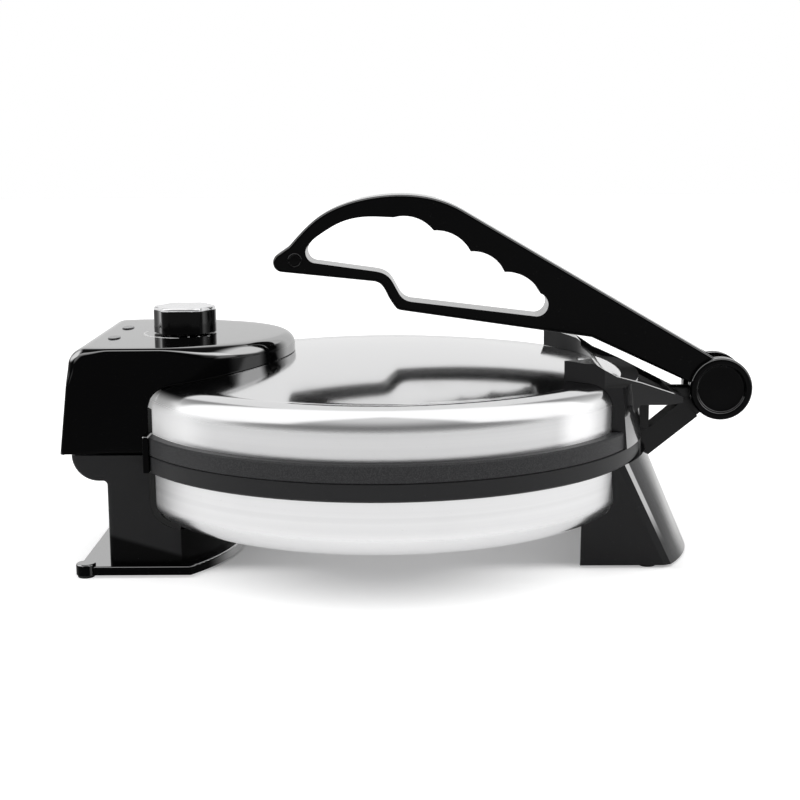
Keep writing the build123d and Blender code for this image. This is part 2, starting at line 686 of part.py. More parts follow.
def knob():
    """Fluted knob: a skirt over the nut and a hub on the shaft."""
    body = pillar(Pos(KNOB_X, 0) * knob_plan(0), KNOB_BASE_Z, KNOB_SEAT_Z)
    ceiling = KNOB_SEAT_Z - KNOB_WALL
    hollow_r = KNOB_R - KNOB_FLUTE_DEPTH - KNOB_WALL
    body -= Pos(KNOB_X, 0) * disc(hollow_r, KNOB_BASE_Z - 1, ceiling)
    hub_z = BOX_TOP_Z + NUT_T + 1
    body += Pos(KNOB_X, 0) * disc(SHAFT_R + KNOB_WALL, hub_z, ceiling)
    return body - Pos(KNOB_X, 0) * disc(SHAFT_R + RUN_CLEARANCE, KNOB_BASE_Z - 1, KNOB_SEAT_Z - 1)


def knob_cap():
    """Metal disc on the knob, with a bevelled rim."""
    face = Pos(KNOB_X, 0) * knob_plan(0.2)
    cap = pillar(face, KNOB_SEAT_Z, KNOB_TOP_Z)
    return chamfer(cap.faces().sort_by(Axis.Z)[-1].edges(), 0.7)


def thermostat_shaft():
    """Shaft that the knob turns in the thermostat's bush."""
    return Pos(KNOB_X, 0) * disc(SHAFT_R, BOX_ROOF_Z - SHAFT_IN, KNOB_SEAT_Z - SHAFT_GRIP)


# ---- Rear bracket of the lid ----

# Side view of the bracket: its upper line from the horns to the arm, then its lower line back again.
# Places near the lid are (ahead of the rings' rear edge, above the shoulder), those near the hinge
# are (ahead of the hinge axis, above it).
BRACKET_UPPER_AT_LID = ((60.0, 11.4), (45.0, 11.4), (29.0, 9.0), (18.0, 2.0), (4.0, -3.3))
BRACKET_UPPER_AT_HINGE = ((27.1, -0.2), (BRACKET_ARM_END, -3.6))
BRACKET_LOWER_AT_HINGE = ((BRACKET_ARM_END, -6.2), (30.1, -5.7), (46.1, -3.0), (54.1, -10.0))
NECK_AHEAD = (25.3, 4.0)
NECK_UP = (-5.0, -0.8)
RIB_TOP_DROP = 4.0          # below the hinge axis


def bracket_plan(inset):
    """Plan of the bracket: straight flanks that close in to the arm."""
    half = BRACKET_HALF_W - inset
    tip = PIVOT_X - BRACKET_ARM_END - SKIRT_OUT - inset / 2
    arm = ARM_HALF_W - inset
    flank = REAR - BRACKET_FLANK_IN
    front = REAR - BRACKET_FRONT_IN
    points = [(front, -half), (flank, -half), (tip, -arm), (tip, arm), (flank, half), (front, half)]
    return make_face(Polyline(*points, close=True))


def bracket_side(drop):
    """Side view of the bracket's roof and its underside, the whole lowered by drop."""
    upper = [(REAR - ahead, SHOULDER_Z + up) for ahead, up in BRACKET_UPPER_AT_LID]
    upper += [(PIVOT_X - ahead, PIVOT_Z + up) for ahead, up in BRACKET_UPPER_AT_HINGE]
    lower = [(PIVOT_X - ahead, PIVOT_Z + up) for ahead, up in BRACKET_LOWER_AT_HINGE]
    foot = [(REAR - BRACKET_FRONT_IN, SHOULDER_Z - SHOULDER_R)]
    points = [(x, z - drop) for x, z in upper + lower] + foot
    return make_face(Polyline(*points, close=True))


def hinge_lug():
    """One of the bracket's two leaves on the hinge pin, with its neck."""
    leaf = cross_bar(PIVOT_X, PIVOT_Z, KNUCKLE_R, LUG_INNER, LUG_OUTER)
    x = [PIVOT_X - ahead for ahead in NECK_AHEAD]
    z = [PIVOT_Z + up for up in NECK_UP]
    return leaf + block(x, (LUG_INNER, LUG_OUTER), z)


def lid_bracket():
    """Hinge bracket: horns on the crown, a skirt round the lid's rear wall, an arm and two leaves."""
    low, high = FLOOR_Z, 2 * SHOULDER_Z + PIVOT_REACH
    roof = pillar(bracket_plan(0), low, high) & slab(bracket_side(0), -BRACKET_HALF_W, BRACKET_HALF_W)
    roof -= Pos(REAR - BRACKET_NOTCH_IN, 0) * disc(BRACKET_NOTCH_R, low, high)
    inner = pillar(bracket_plan(BRACKET_WALL), low, high)
    dish = inner & block((REAR - 27, REAR + 15), (-BRACKET_HALF_W, BRACKET_HALF_W), (0, high))
    roof -= dish - slab(bracket_side(BRACKET_DISH), -BRACKET_HALF_W, BRACKET_HALF_W)
    skirt_low = RING_R + SKIRT_OUT
    skirt_top_z = SHOULDER_Z - SKIRT_DROP
    skirt = turned(
        Polyline(
            (LID_R - SHOULDER_R / 2, SEAM_GAP), (skirt_low, SEAM_GAP), (skirt_low - SKIRT_TAPER, skirt_top_z),
            (LID_R - SHOULDER_R / 2, skirt_top_z), close=True,
        )
    )
    skirt &= block((0, REAR + 10), (-BRACKET_HALF_W, BRACKET_HALF_W), (low, high))
    rib_x = [REAR + out for out in RIB_X]
    rib = block(rib_x, (-ARM_HALF_W / 2, ARM_HALF_W / 2), (SEAM_GAP, PIVOT_Z - RIB_TOP_DROP))
    body = roof + skirt + rib
    body -= lid_body(2 * SEAT_GAP, SEAT_GAP, low)
    body += hinge_lug()
    body += mirror(hinge_lug(), Plane.XZ)
    body -= cross_bar(PIVOT_X, PIVOT_Z, PIN_R + RUN_CLEARANCE, -HANDLE_HALF_W, HANDLE_HALF_W)
    for screw in BRACKET_SCREWS:
        body -= screw
    return body


# ---- Handle, drawn by its places ahead of and above the hinge pin ----

def near_pin(*places):
    """Points given as (ahead of the pin, above the pin)."""
    return [(PIVOT_X - ahead, PIVOT_Z + up) for ahead, up in places]


def handle_outline():
    """The handle's outer line: straight back, rounded crown, blunt tip, stepped underside."""
    back_end, back_top, crown, brow, kink = near_pin(
        (-6.4, 10.3), (135.1, 94.0), (170.4, 102.4), (208.5, 92.5), (226.4, 75.9))
    tip_top, tip, tip_low = near_pin((231.7, 72.3), (234.5, 66.6), (230.1, 62.7))
    step_a, step_b, step_c, step_d, step_e = near_pin(
        (182.2, 57.6), (177.0, 54.4), (174.4, 49.4), (170.7, 43.8), (164.1, 41.7))
    knee, low_end = near_pin((67.9, 27.4), (-5.1, -6.9))
    return outline(
        Line(back_end, back_top),
        Spline([back_top, crown, brow, kink], tangents=[(-0.86, 0.51), (-0.66, -0.75)]),
        Line(kink, tip_top),
        ThreePointArc(tip_top, tip, tip_low),
        Line(tip_low, step_a),
        Spline([step_a, step_b, step_c, step_d, step_e], tangents=[(1, -0.1), (1, -0.14)]),
        Line(step_e, knee),
        Line(knee, low_end),
        Line(low_end, back_end),
    )


def handle_opening():
    """The grip opening, with finger scallops under the back."""
    low_a, step_a, step_b, step_c, low_b, low_c = near_pin(
        (213.4, 67.5), (181.3, 62.9), (174.4, 60.0), (168.7, 50.8), (162.3, 46.8), (97.1, 38.7))
    corner = near_pin((91.2, 42.9))[0]
    cusps = near_pin((95.0, 50.7), (113.8, 62.1), (131.5, 72.9), (150.7, 83.9), (171.4, 90.8))
    left_a, left_b, left_c, left_d = near_pin((188.8, 91.0), (199.1, 88.4), (208.7, 83.0), (216.0, 76.7))
    back = near_pin((217.2, 71.2))[0]
    edges = [
        Line(low_a, step_a),
        Spline([step_a, step_b, step_c, low_b], tangents=[(1, -0.15), (1, -0.14)]),
        Line(low_b, low_c),
        ThreePointArc(low_c, corner, cusps[0]),
    ]
    for start, end in zip(cusps, cusps[1:]):
        chord = hypot(end[0] - start[0], end[1] - start[1])
        across = ((start[1] - end[1]) / chord, (end[0] - start[0]) / chord)
        middle = ((start[0] + end[0]) / 2, (start[1] + end[1]) / 2)
        top = tuple(middle[i] - across[i] * HANDLE_SCALLOP_RISE for i in (0, 1))
        edges.append(ThreePointArc(start, top, end))
    edges.append(Spline([cusps[-1], left_a, left_b, left_c, left_d], tangents=[(-1, 0.05), (-0.6, -0.8)]))
    edges.append(ThreePointArc(left_d, back, low_a))
    return outline(*edges)


HANDLE_SCREW_PLACES = near_pin((223.2, 68.8), (82.1, 50.0), (58.8, 35.4))
HANDLE_SCREW_HEAD_Y = HANDLE_HALF_W - HANDLE_SCREW_IN
HANDLE_SCREWS = [
    cross_bar(x, z, SMALL_SCREW_R, -HANDLE_SCREW_HEAD_Y, HANDLE_SCREW_HEAD_Y)
    + cross_bar(x, z, SCREW_HEAD_R, HANDLE_SCREW_HEAD_Y, HANDLE_SCREW_HEAD_Y + SCREW_HEAD_T)
    for x, z in HANDLE_SCREW_PLACES
]


def handle_half(side):
    """One half of the handle (side -1 near, +1 far) with its cheek on the hinge pin."""
    face = handle_outline() + Pos(PIVOT_X, PIVOT_Z) * Circle(BARREL_R)
    face -= handle_opening()
    body = slab(face, -HANDLE_HALF_W, 0)
    outer_face = body.faces().sort_by(Axis.Y)[0]
    body = fillet(outer_face.outer_wire().edges(), HANDLE_EDGE_R)
    if side > 0:
        body = mirror(body, Plane.XZ)
    body -= cross_bar(PIVOT_X, PIVOT_Z, STRUT_CLEAR_R + 1, -CHEEK_INNER, CHEEK_INNER)
    body -= cross_bar(PIVOT_X, PIVOT_Z, PIN_R + RUN_CLEARANCE, -50, 50)
    tip_x, tip_z = HANDLE_SCREW_PLACES[0]
    body -= cross_bar(tip_x, tip_z, PLUG_R, side * (HANDLE_HALF_W - PLUG_T), side * 50)
    for x, z in HANDLE_SCREW_PLACES[1:]:
        body -= cross_bar(x, z, SCREW_HEAD_R + SEAT_GAP, HANDLE_SCREW_HEAD_Y, 50)
    for screw in HANDLE_SCREWS:
        body -= screw
    return body


def handle_plugs():
    """Round plugs in both side faces at the handle's tip."""
    x, z = HANDLE_SCREW_PLACES[0]
    plug = cross_bar(x, z, PLUG_R - SEAT_GAP, PLUG_T - HANDLE_HALF_W, PLUG_PROUD - HANDLE_HALF_W)
    return both_sides(plug)


def hinge_cap(side):
    """Dished cap on one end of the barrel, hollowed inside for the pin's end and its clip."""
    body = cross_bar(PIVOT_X, PIVOT_Z, BARREL_R, CAP_INNER, CAP_INNER + CAP_T)
    body = fillet(body.faces().sort_by(Axis.Y)[-1].edges(), CAP_EDGE_R)
    body -= cross_bar(PIVOT_X, PIVOT_Z, CAP_RECESS_R, CAP_INNER + CAP_T - CAP_RECESS_DEPTH, 50)
    body -= cross_bar(PIVOT_X, PIVOT_Z, CAP_POCKET_R, CAP_INNER - 1, CAP_INNER + CAP_POCKET_DEPTH)
    return body if side > 0 else mirror(body, Plane.XZ)


# ---- Hinge pin, on the base's strut ----

PIN_HALF = CAP_INNER + CAP_POCKET_DEPTH - PIN_END_GAP
GROOVE_Y = (CAP_INNER + PIN_END_GAP, CAP_INNER + PIN_END_GAP + CLIP_RING_T)


def hinge_pin():
    """Steel pin through every leaf of the hinge, grooved near both ends."""
    body = cross_bar(PIVOT_X, PIVOT_Z, PIN_R, -PIN_HALF, PIN_HALF)
    groove = cross_bar(PIVOT_X, PIVOT_Z, PIN_R + 1, *GROOVE_Y)
    groove -= cross_bar(PIVOT_X, PIVOT_Z, PIN_R - CLIP_GROOVE, -50, 50)
    return body - groove - mirror(groove, Plane.XZ)


def pin_clips():
    """Spring clips in the pin's grooves, each open on one side."""
    ring_part = cross_bar(PIVOT_X, PIVOT_Z, PIN_R + CLIP_RING_W, *GROOVE_Y)
    ring_part -= cross_bar(PIVOT_X, PIVOT_Z, PIN_R - CLIP_GROOVE, -50, 50)
    mouth_z = (PIVOT_Z - CLIP_MOUTH / 2, PIVOT_Z + CLIP_MOUTH / 2)
    mouth = block((PIVOT_X, PIVOT_X + BARREL_R), (0, 2 * PIN_HALF), mouth_z)
    return both_sides(ring_part - mouth)


# ---- Base ----

def base_pan():
    """Pressed steel pan with a wire window behind the front leg."""
    body = pan_body(0, -LEDGE_T) - pan_body(-SHEET, 1 - LEDGE_T)
    body -= block((FRONT, FRONT + 20), (-WINDOW_HALF, WINDOW_HALF), WINDOW_Z)
    for screw in REAR_SCREWS + LEG_SCREWS + STRUT_SCREWS:
        body -= screw
    return body


def base_ring():
    """Lower ring, its belt open only where the front leg stands."""
    return below(ring(PAN_R)) - belt_front_cut(PAN_R, BELT_CUT_X + SIDE_CLEARANCE)


def thermal_fuse():
    """Safety cut-out lying on the lower plate's back."""
    return cross_bar(FUSE_X, -PLATE_BACK_Z - FUSE_R, FUSE_R, -FUSE_LENGTH / 2, FUSE_LENGTH / 2)


def fuse_clip():
    """Bent strap over the thermal fuse."""
    z = -PLATE_BACK_Z
    inner = FUSE_R + SEAT_GAP
    outer = inner + CLIP_T
    reach = inner + FUSE_CLIP_TAB
    side = (-FUSE_CLIP_W / 2, FUSE_CLIP_W / 2)
    wide = (-FUSE_CLIP_W, FUSE_CLIP_W)
    arch = cross_bar(FUSE_X, z - FUSE_R, outer, *side)
    arch += block((FUSE_X - outer, FUSE_X + outer), side, (z - FUSE_R, z))
    arch += block((FUSE_X - reach, FUSE_X + reach), side, (z - CLIP_T, z))
    arch -= cross_bar(FUSE_X, z - FUSE_R, inner, *wide)
    arch -= block((FUSE_X - inner, FUSE_X + inner), wide, (z - FUSE_R, z + 1))
    return arch - block((FUSE_X - reach, FUSE_X + reach), wide, (z, z + 2 * outer))


LEG_FRONT_X = FRONT - LEG_NOSE_REACH
LEG_FACE_X = FRONT - LEG_FACE_REACH
LEG_REAR_X = FRONT + LEG_REAR_IN
LEG_POST_PLACES = [
    (x, side * LEG_POST_SIDE)
    for x in (LEG_FACE_X + LEG_WALL + BOSS_R - POST_SINK, LEG_REAR_X - LEG_WALL - BOSS_R + POST_SINK)
    for side in (-1, 1)
]
FOOT_SCREWS = [
    upright_screw(x, y, FOOT_LOW_Z + SCREW_HEAD_T + SCREW_SINK, FOOT_TOP_Z + POST_H - 2)
    for x, y in LEG_POST_PLACES
]


def leg_side():
    """Side view of the front leg: a rounded nose under the control box, then a straight leg."""
    turn = LEG_NOSE_R * (1 - cos(radians(45)))
    nose_end = (LEG_FRONT_X + LEG_NOSE_R, LEG_TOP_Z - LEG_NOSE_R)
    step = LEG_STEP_R
    inside = step * (1 - cos(radians(45)))
    return outline(
        Line((LEG_REAR_X, LEG_TOP_Z), (LEG_FRONT_X, LEG_TOP_Z)),
        ThreePointArc((LEG_FRONT_X, LEG_TOP_Z), (LEG_FRONT_X + turn, LEG_TOP_Z - LEG_NOSE_R + turn),
                      nose_end),
        Line(nose_end, (LEG_FACE_X - step, nose_end[1])),
        ThreePointArc((LEG_FACE_X - step, nose_end[1]), (LEG_FACE_X - inside, nose_end[1] - inside),
                      (LEG_FACE_X, nose_end[1] - step)),
        Line((LEG_FACE_X, nose_end[1] - step), (LEG_FACE_X, FOOT_TOP_Z)),
        Line((LEG_FACE_X, FOOT_TOP_Z), (LEG_REAR_X, FOOT_TOP_Z)),
        Line((LEG_REAR_X, FOOT_TOP_Z), (LEG_REAR_X, LEG_TOP_Z)),
    )


def leg_bow(inset):
    """Plan of the leg's bowed rear wall under the pan, or of the hollow behind it."""
    half = LEG_HALF_W - inset
    return outline(
        Line((LEG_REAR_X, half), (LEG_REAR_X, -half)),
        ThreePointArc((LEG_REAR_X, -half), (FRONT + LEG_BOW_IN - inset, 0), (LEG_REAR_X, half)),
    )


def front_leg():
    """Hollow leg under the control box, cut round the pan, open below for the foot plate."""
    body = slab(leg_side(), -LEG_HALF_W, LEG_HALF_W)
    corners = [
        edge for edge in body.edges().filter_by(Axis.Z)
        if abs((edge @ 0.5).X - LEG_FACE_X) < 0.01
    ]
    body = fillet(corners, LEG_CORNER_R)
    body += pillar(leg_bow(0), FOOT_TOP_Z, PAN_BOTTOM_Z)
    body -= pan_body(LEG_SEAL_T, 9)
    body -= pillar(leg_bow(LEG_WALL), FOOT_TOP_Z - 1, PAN_BOTTOM_Z - LEG_SEAL_T - LEG_WALL)
    inside = (LEG_FACE_X + LEG_WALL, LEG_REAR_X - LEG_WALL)
    half = LEG_HALF_W - LEG_WALL
    hollow = block(inside, (-half, half), (FOOT_TOP_Z - 1, LEG_TOP_Z - LEG_WALL))
    hollow -= pan_body(LEG_SEAL_T + LEG_WALL, 9)
    for x, y in LEG_POST_PLACES:
        hollow -= Pos(x, y) * disc(BOSS_R, FOOT_TOP_Z - 1, FOOT_TOP_Z + POST_H)
    for angle in LEG_SCREW_ANGLES:
        hollow -= pan_boss(angle, PAN_R + LEG_BOSS_OUT)
    body -= hollow
    for angle in LEG_SCREW_ANGLES:
        body += pan_boss(angle, PAN_R + LEG_SEAL_T + LEG_WALL) - pan_body(0, 9)
    body -= cross_bar(GLAND_X, GLAND_Z, GLAND_R + SEAT_GAP, 0, 2 * LEG_HALF_W)
    nut_room = (half - GLAND_NUT_T - SEAT_GAP, half)
    body -= cross_bar(GLAND_X, GLAND_Z, GLAND_R + GLAND_FLANGE + SEAT_GAP, *nut_room)
    body -= block((LEG_FACE_X + LEG_WALL, LEG_REAR_X), (-WINDOW_HALF, WINDOW_HALF), WINDOW_Z)
    for screw in LEG_SCREWS + FOOT_SCREWS:
        body -= screw
    return body


def leg_seal():
    """Two rubber strips between the front leg's side walls and the pan."""
    gap = pan_body(LEG_SEAL_T - SEAT_GAP, LEG_TOP_Z) - pan_body(2 * SEAT_GAP, 9)
    gap -= tube(RING_R, LEDGE_R, -LEDGE_T - SEAT_GAP, 9)
    side = (-LEG_HALF_W, -LEG_HALF_W + LEG_SEAL_W)
    gap -= block((BELT_CUT_X, LEG_REAR_X), side, (RING_LOW_Z - SEAT_GAP, 0))
    near = gap & block((FRONT, LEG_REAR_X), side, (FOOT_TOP_Z, LEG_TOP_Z))
    return both_sides(near)


def foot_plan():
    """Plan of the foot plate: square corners with round lobes in front, a long arc behind."""
    front_x = FRONT - FOOT_FRONT_REACH
    corner_x = FRONT + FOOT_CORNER_IN
    apex_x = FRONT + FOOT_APEX_IN
    bevel_x = front_x + FOOT_BEVEL[0]
    bevel_y = FOOT_HALF_W - FOOT_BEVEL[1]
    face = outline(
        Polyline((corner_x, FOOT_HALF_W), (bevel_x, FOOT_HALF_W), (front_x, bevel_y),
                 (front_x, -bevel_y), (bevel_x, -FOOT_HALF_W), (corner_x, -FOOT_HALF_W)),
        ThreePointArc((corner_x, -FOOT_HALF_W), (apex_x, 0), (corner_x, FOOT_HALF_W)),
    )
    for side in (-1, 1):
        face += Pos(FRONT - FOOT_POST_REACH, side * FOOT_POST_SIDE) * Circle(FOOT_POST_R)
    return face


def foot_plate():
    """Wide plate that closes the leg below and carries the two front pads on its posts."""
    body = pillar(foot_plan(), FOOT_LOW_Z, FOOT_TOP_Z)
    body = fillet(body.faces().sort_by(Axis.Z)[-1].edges(), FOOT_EDGE_R)
    post = disc(FOOT_POST_R, FOOT_LOW_Z, FOOT_TOP_Z + FOOT_POST_RISE)
    post = fillet(post.faces().sort_by(Axis.Z)[-1].edges(), FOOT_EDGE_R)
    for side in (-1, 1):
        body += Pos(FRONT - FOOT_POST_REACH, side * FOOT_POST_SIDE) * post
    for x, y in LEG_POST_PLACES:
        body -= Pos(x, y, FOOT_LOW_Z) * Cylinder(SCREW_HEAD_R + SEAT_GAP, 2 * (SCREW_HEAD_T + SCREW_SINK))
    for screw in FOOT_SCREWS:
        body -= screw
    return body


def pad(x, y):
    """A round rubber pad under a foot."""
    body = Pos(x, y, (FLOOR_Z + FOOT_LOW_Z) / 2) * Cylinder(PAD_R, FOOT_LOW_Z - FLOOR_Z)
    return fillet(body.faces().sort_by(Axis.Z)[0].edges(), 0.4)


def rear_section(z, half, side_x, rear_x, inset):
    """Cross-section of the rear foot: two flat sides and a bowed rear wall."""
    half = half - inset
    front_x = REAR - REAR_FRONT_IN - 5 * inset
    face = outline(
        Line((side_x - inset / 2, -half), (front_x, -half)),
        Line((front_x, -half), (front_x, half)),
        Line((front_x, half), (side_x - inset / 2, half)),
        ThreePointArc((side_x - inset / 2, half), (rear_x - inset, 0), (side_x - inset / 2, -half)),
    )
    return Pos(0, 0, z) * face


def rear_loft(inset, over):
    """The rear foot's outside, or its hollow when inset by the wall."""
    side = (REAR - REAR_TOP_SIDE_IN, REAR + REAR_LOW_SIDE_OUT)
    rear = (REAR + REAR_TOP_OUT, REAR + REAR_LOW_OUT)
    low = rear_section(FOOT_LOW_Z - over, REAR_LOW_HALF, side[1], rear[1], inset)
    top = rear_section(RING_LOW_Z - inset, REAR_TOP_HALF, side[0], rear[0], inset)
    return loft([low, top])


def rear_foot():
    """Spreading rear foot, open in front, hooked under the lower ring and screwed to the pan."""
    body = rear_loft(0, 0)
    corners = [
        edge for edge in body.edges()
        if (edge @ 0.5).X > REAR - REAR_FRONT_IN + 5 and abs((edge @ 0.5).Y) > REAR_LOW_HALF
        and abs((edge @ 0.5).Z - (RING_LOW_Z + FOOT_LOW_Z) / 2) < 1
    ]
    body = chamfer(corners, REAR_EDGE)
    hollow = rear_loft(REAR_WALL, 1)
    for side in (-1, 1):
        post = disc(PAD_R + 2, FOOT_LOW_Z - 1, FOOT_LOW_Z + REAR_POST_H)
        hollow -= Pos(REAR_PAD_X, side * REAR_PAD_SIDE) * post
    for angle in REAR_SCREW_ANGLES:
        hollow -= pan_boss(angle, PAN_R + LEG_BOSS_OUT)
    body -= hollow
    body -= pan_body(SEAT_GAP, 9)
    body -= hinge_strut()
    for screw in REAR_SCREWS + STRUT_SCREWS:
        body -= screw
    return body


# Side view of the strut. Its arm runs from places behind the rings' rear edge, given as (behind it,
# below the leg's top), to places given as (ahead of the hinge axis, above it).
STRUT_BACK = 1.5            # its flat front behind the rings
STRUT_LOW_END = (5.7, 12.2)
STRUT_UNDER = (8.3, -13.7)
STRUT_OVER = ((0.0, -8.0), (0.0, 0.0), (8.0, 1.0), (17.0, -5.6))
STRUT_SHOULDER = (4.8, 13.7)
STRUT_ROOT_X = 3.0          # its root, behind the strut's front
STRUT_ROOT_LOW_Z = -32.0


def hinge_strut():
    """Arm that rises from the rear foot behind the lower ring to the hinge pin."""
    back_x = REAR + STRUT_BACK
    low_x, low_z = REAR + STRUT_LOW_END[0], LEG_TOP_Z - STRUT_LOW_END[1]
    under_x, under_z = PIVOT_X - STRUT_UNDER[0], PIVOT_Z + STRUT_UNDER[1]
    slope = (under_z - low_z) / (under_x - low_x)
    over = [(PIVOT_X - ahead, PIVOT_Z + up) for ahead, up in STRUT_OVER]
    top_z = low_z + STRUT_SHOULDER[1]
    arm = [(back_x, low_z - slope * (low_x - back_x)), (low_x, low_z), (under_x, under_z), *over]
    arm += [(REAR + STRUT_SHOULDER[0], top_z), (back_x, top_z)]
    root_x = (PAN_R - STRUT_ROOT_X, back_x + STRUT_ROOT_X)
    arm_face = make_face(Polyline(*arm, close=True))
    body = slab(arm_face, -STRUT_HALF_W, STRUT_HALF_W)
    body -= cross_bar(PIVOT_X, PIVOT_Z, STRUT_CLEAR_R, -STRUT_HALF_W - 1, STRUT_HALF_W + 1)
    body += slab(arm_face, -STRUT_LEAF_HALF, STRUT_LEAF_HALF)
    body += cross_bar(PIVOT_X, PIVOT_Z, KNUCKLE_R, -STRUT_LEAF_HALF, STRUT_LEAF_HALF)
    body += block(root_x, (-STRUT_HALF_W, STRUT_HALF_W), (STRUT_ROOT_LOW_Z, RING_LOW_Z - 2 * SEAT_GAP))
    body -= pan_body(SEAT_GAP, 9)
    body -= cross_bar(PIVOT_X, PIVOT_Z, PIN_R + RUN_CLEARANCE, -STRUT_HALF_W, STRUT_HALF_W)
    for screw in STRUT_SCREWS:
        body -= screw
    return body


def cord_gland():
    """Flanged bush for a mains cord in the leg's far side wall."""
    outer_y = LEG_HALF_W + GLAND_PROUD
    body = cross_bar(GLAND_X, GLAND_Z, GLAND_R, outer_y - GLAND_LENGTH, outer_y)
    body += cross_bar(GLAND_X, GLAND_Z, GLAND_R + GLAND_FLANGE, LEG_HALF_W, LEG_HALF_W + GLAND_FLANGE_T)
    return body - cross_bar(GLAND_X, GLAND_Z, GLAND_BORE_R, 0, 2 * outer_y)


def gland_nut():
    """Nut that holds the gland from inside the leg."""
    inner_y = LEG_HALF_W - LEG_WALL
    body = cross_bar(GLAND_X, GLAND_Z, GLAND_R + GLAND_FLANGE, inner_y - GLAND_NUT_T, inner_y)
    return body - cross_bar(GLAND_X, GLAND_Z, GLAND_R + SEAT_GAP, 0, 2 * LEG_HALF_W)


TERMINAL_TOP_Z = FOOT_TOP_Z + TERMINAL_SIZE[2]
TERMINAL_SCREWS = [
    upright_screw(GLAND_X, y, TERMINAL_TOP_Z, TERMINAL_TOP_Z - 7, SMALL_SCREW_R)
    for y in (-11, 0, 11)
]


def terminal_block():
    """Ceramic block on the foot plate where the supply and the heater leads meet."""
    length, width, height = TERMINAL_SIZE
    spot = Pos(GLAND_X, 0, FOOT_TOP_Z + height / 2)
    body = spot * Box(length, width, height)
    body = chamfer(body.faces().sort_by(Axis.Z)[-1].edges(), 1.0)
    for screw in TERMINAL_SCREWS:
        body -= screw
    return body


def main():
    """Builds every sub-part of the object."""
    os.makedirs("parts", exist_ok=True)
    screws = {
        "lid_plate_screws": SHIELD_SCREWS,
        "lid_clip_screws": CLIP_SCREWS,
        "base_plate_screws": [below(screw) for screw in SHIELD_SCREWS],
        "base_clip_screws": [below(screw) for screw in CLIP_SCREWS],
        "bracket_screws": BRACKET_SCREWS,
        "box_screws": BOX_SCREWS,
        "handle_screws": HANDLE_SCREWS,
        "pan_screws": REAR_SCREWS + LEG_SCREWS + STRUT_SCREWS,
        "foot_plate_screws": FOOT_SCREWS,
        "terminal_screws": TERMINAL_SCREWS,
    }
    for node, parts in screws.items():
        put(group(parts), node)
    pads = [pad(FRONT - FOOT_POST_REACH, side * FOOT_POST_SIDE) for side in (-1, 1)]
    put(group(pads), "front_pads")
    put(group([pad(REAR_PAD_X, side * REAR_PAD_SIDE) for side in (-1, 1)]), "rear_pads")
    upper_shield = heat_shield()
    pieces = {
        "lid_shell": lid_shell(),
        "lid_ring": lid_ring(),
        "upper_plate": plate(),
        "upper_heater": heater(),
        "upper_heater_clips": heater_clips(),
        "upper_heat_shield": upper_shield - sensor_hole(),
        "control_box": control_box(),
        "control_box_floor": box_floor(),
        "control_box_seals": box_seal(),
        "ring_tabs": ring_tabs(),
        "thermostat": thermostat(),
        "thermostat_nut": thermostat_nut(),
        "thermostat_sensor": sensor_rod(),
        "lamp_lenses": lamps(),
        "lamp_holders": lamp_holders(),
        "lid_bracket": lid_bracket(),
        "knob": knob(),
        "knob_cap": knob_cap(),
        "thermostat_shaft": thermostat_shaft(),
        "handle_near_half": handle_half(-1),
        "handle_far_half": handle_half(1),
        "handle_plugs": handle_plugs(),
        "hinge_cap_near": hinge_cap(-1),
        "hinge_cap_far": hinge_cap(1),
        "base_pan": base_pan(),
        "base_ring": base_ring(),
        "lower_plate": below(plate()),
        "lower_heater": below(heater()),
        "lower_heater_clips": below(heater_clips()),
        "lower_heat_shield": below(upper_shield),
        "thermal_fuse": thermal_fuse(),
        "fuse_clip": fuse_clip(),
        "front_leg": front_leg(),
        "leg_seals": leg_seal(),
        "foot_plate": foot_plate(),
        "rear_foot": rear_foot(),
        "hinge_strut": hinge_strut(),
        "hinge_pin": hinge_pin(),
        "pin_clips": pin_clips(),
        "cord_gland": cord_gland(),
        "gland_nut": gland_nut(),
        "terminal_block": terminal_block(),
    }
    for node, part in pieces.items():
        put(part, node)


main()
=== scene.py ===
# %% [markdown]
# # An electric roti maker, dressed for the camera
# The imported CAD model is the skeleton: 54 named nodes on four bodies (base, lid, knob, handle).
# We load it, measure it, and then build finishes, smoother skins and small printed marks on top.

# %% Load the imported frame
import json
import math
import bmesh
import bpy
import numpy as np
from mathutils import Matrix, Vector


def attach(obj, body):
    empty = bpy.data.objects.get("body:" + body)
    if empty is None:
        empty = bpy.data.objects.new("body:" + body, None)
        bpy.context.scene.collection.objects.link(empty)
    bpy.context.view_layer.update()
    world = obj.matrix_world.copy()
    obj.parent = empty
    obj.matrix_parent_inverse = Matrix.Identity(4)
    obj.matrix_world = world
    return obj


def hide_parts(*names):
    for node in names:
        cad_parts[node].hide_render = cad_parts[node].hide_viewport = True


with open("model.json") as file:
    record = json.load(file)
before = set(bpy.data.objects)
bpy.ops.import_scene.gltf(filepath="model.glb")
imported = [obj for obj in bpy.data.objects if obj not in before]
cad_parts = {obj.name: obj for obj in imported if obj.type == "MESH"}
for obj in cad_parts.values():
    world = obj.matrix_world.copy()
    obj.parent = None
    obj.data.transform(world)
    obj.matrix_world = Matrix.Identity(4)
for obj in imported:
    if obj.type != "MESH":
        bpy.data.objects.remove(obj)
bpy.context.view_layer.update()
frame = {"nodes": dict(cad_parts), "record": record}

# %% [markdown]
# ## Where things are
# The drawing of this appliance measures heights from the seam between its two plastic rings and
# lengths from the axis of the two round pans. One small function turns such millimetres into the
# metres of the frame, so every number below can be compared with a ruler on the real object.

# %% Millimetres of the drawing to metres of the frame
AXIS_X, SEAM_Z = 15.75, 64.0          # the drawing's origin lies at x -15.75 mm, z 64 mm


def place(points):
    """Metres in the frame = (millimetres of the drawing + the shift) / 1000, for a whole array."""
    return (np.asarray(points, float) + (-AXIS_X, 0.0, SEAM_Z)) / 1000.0


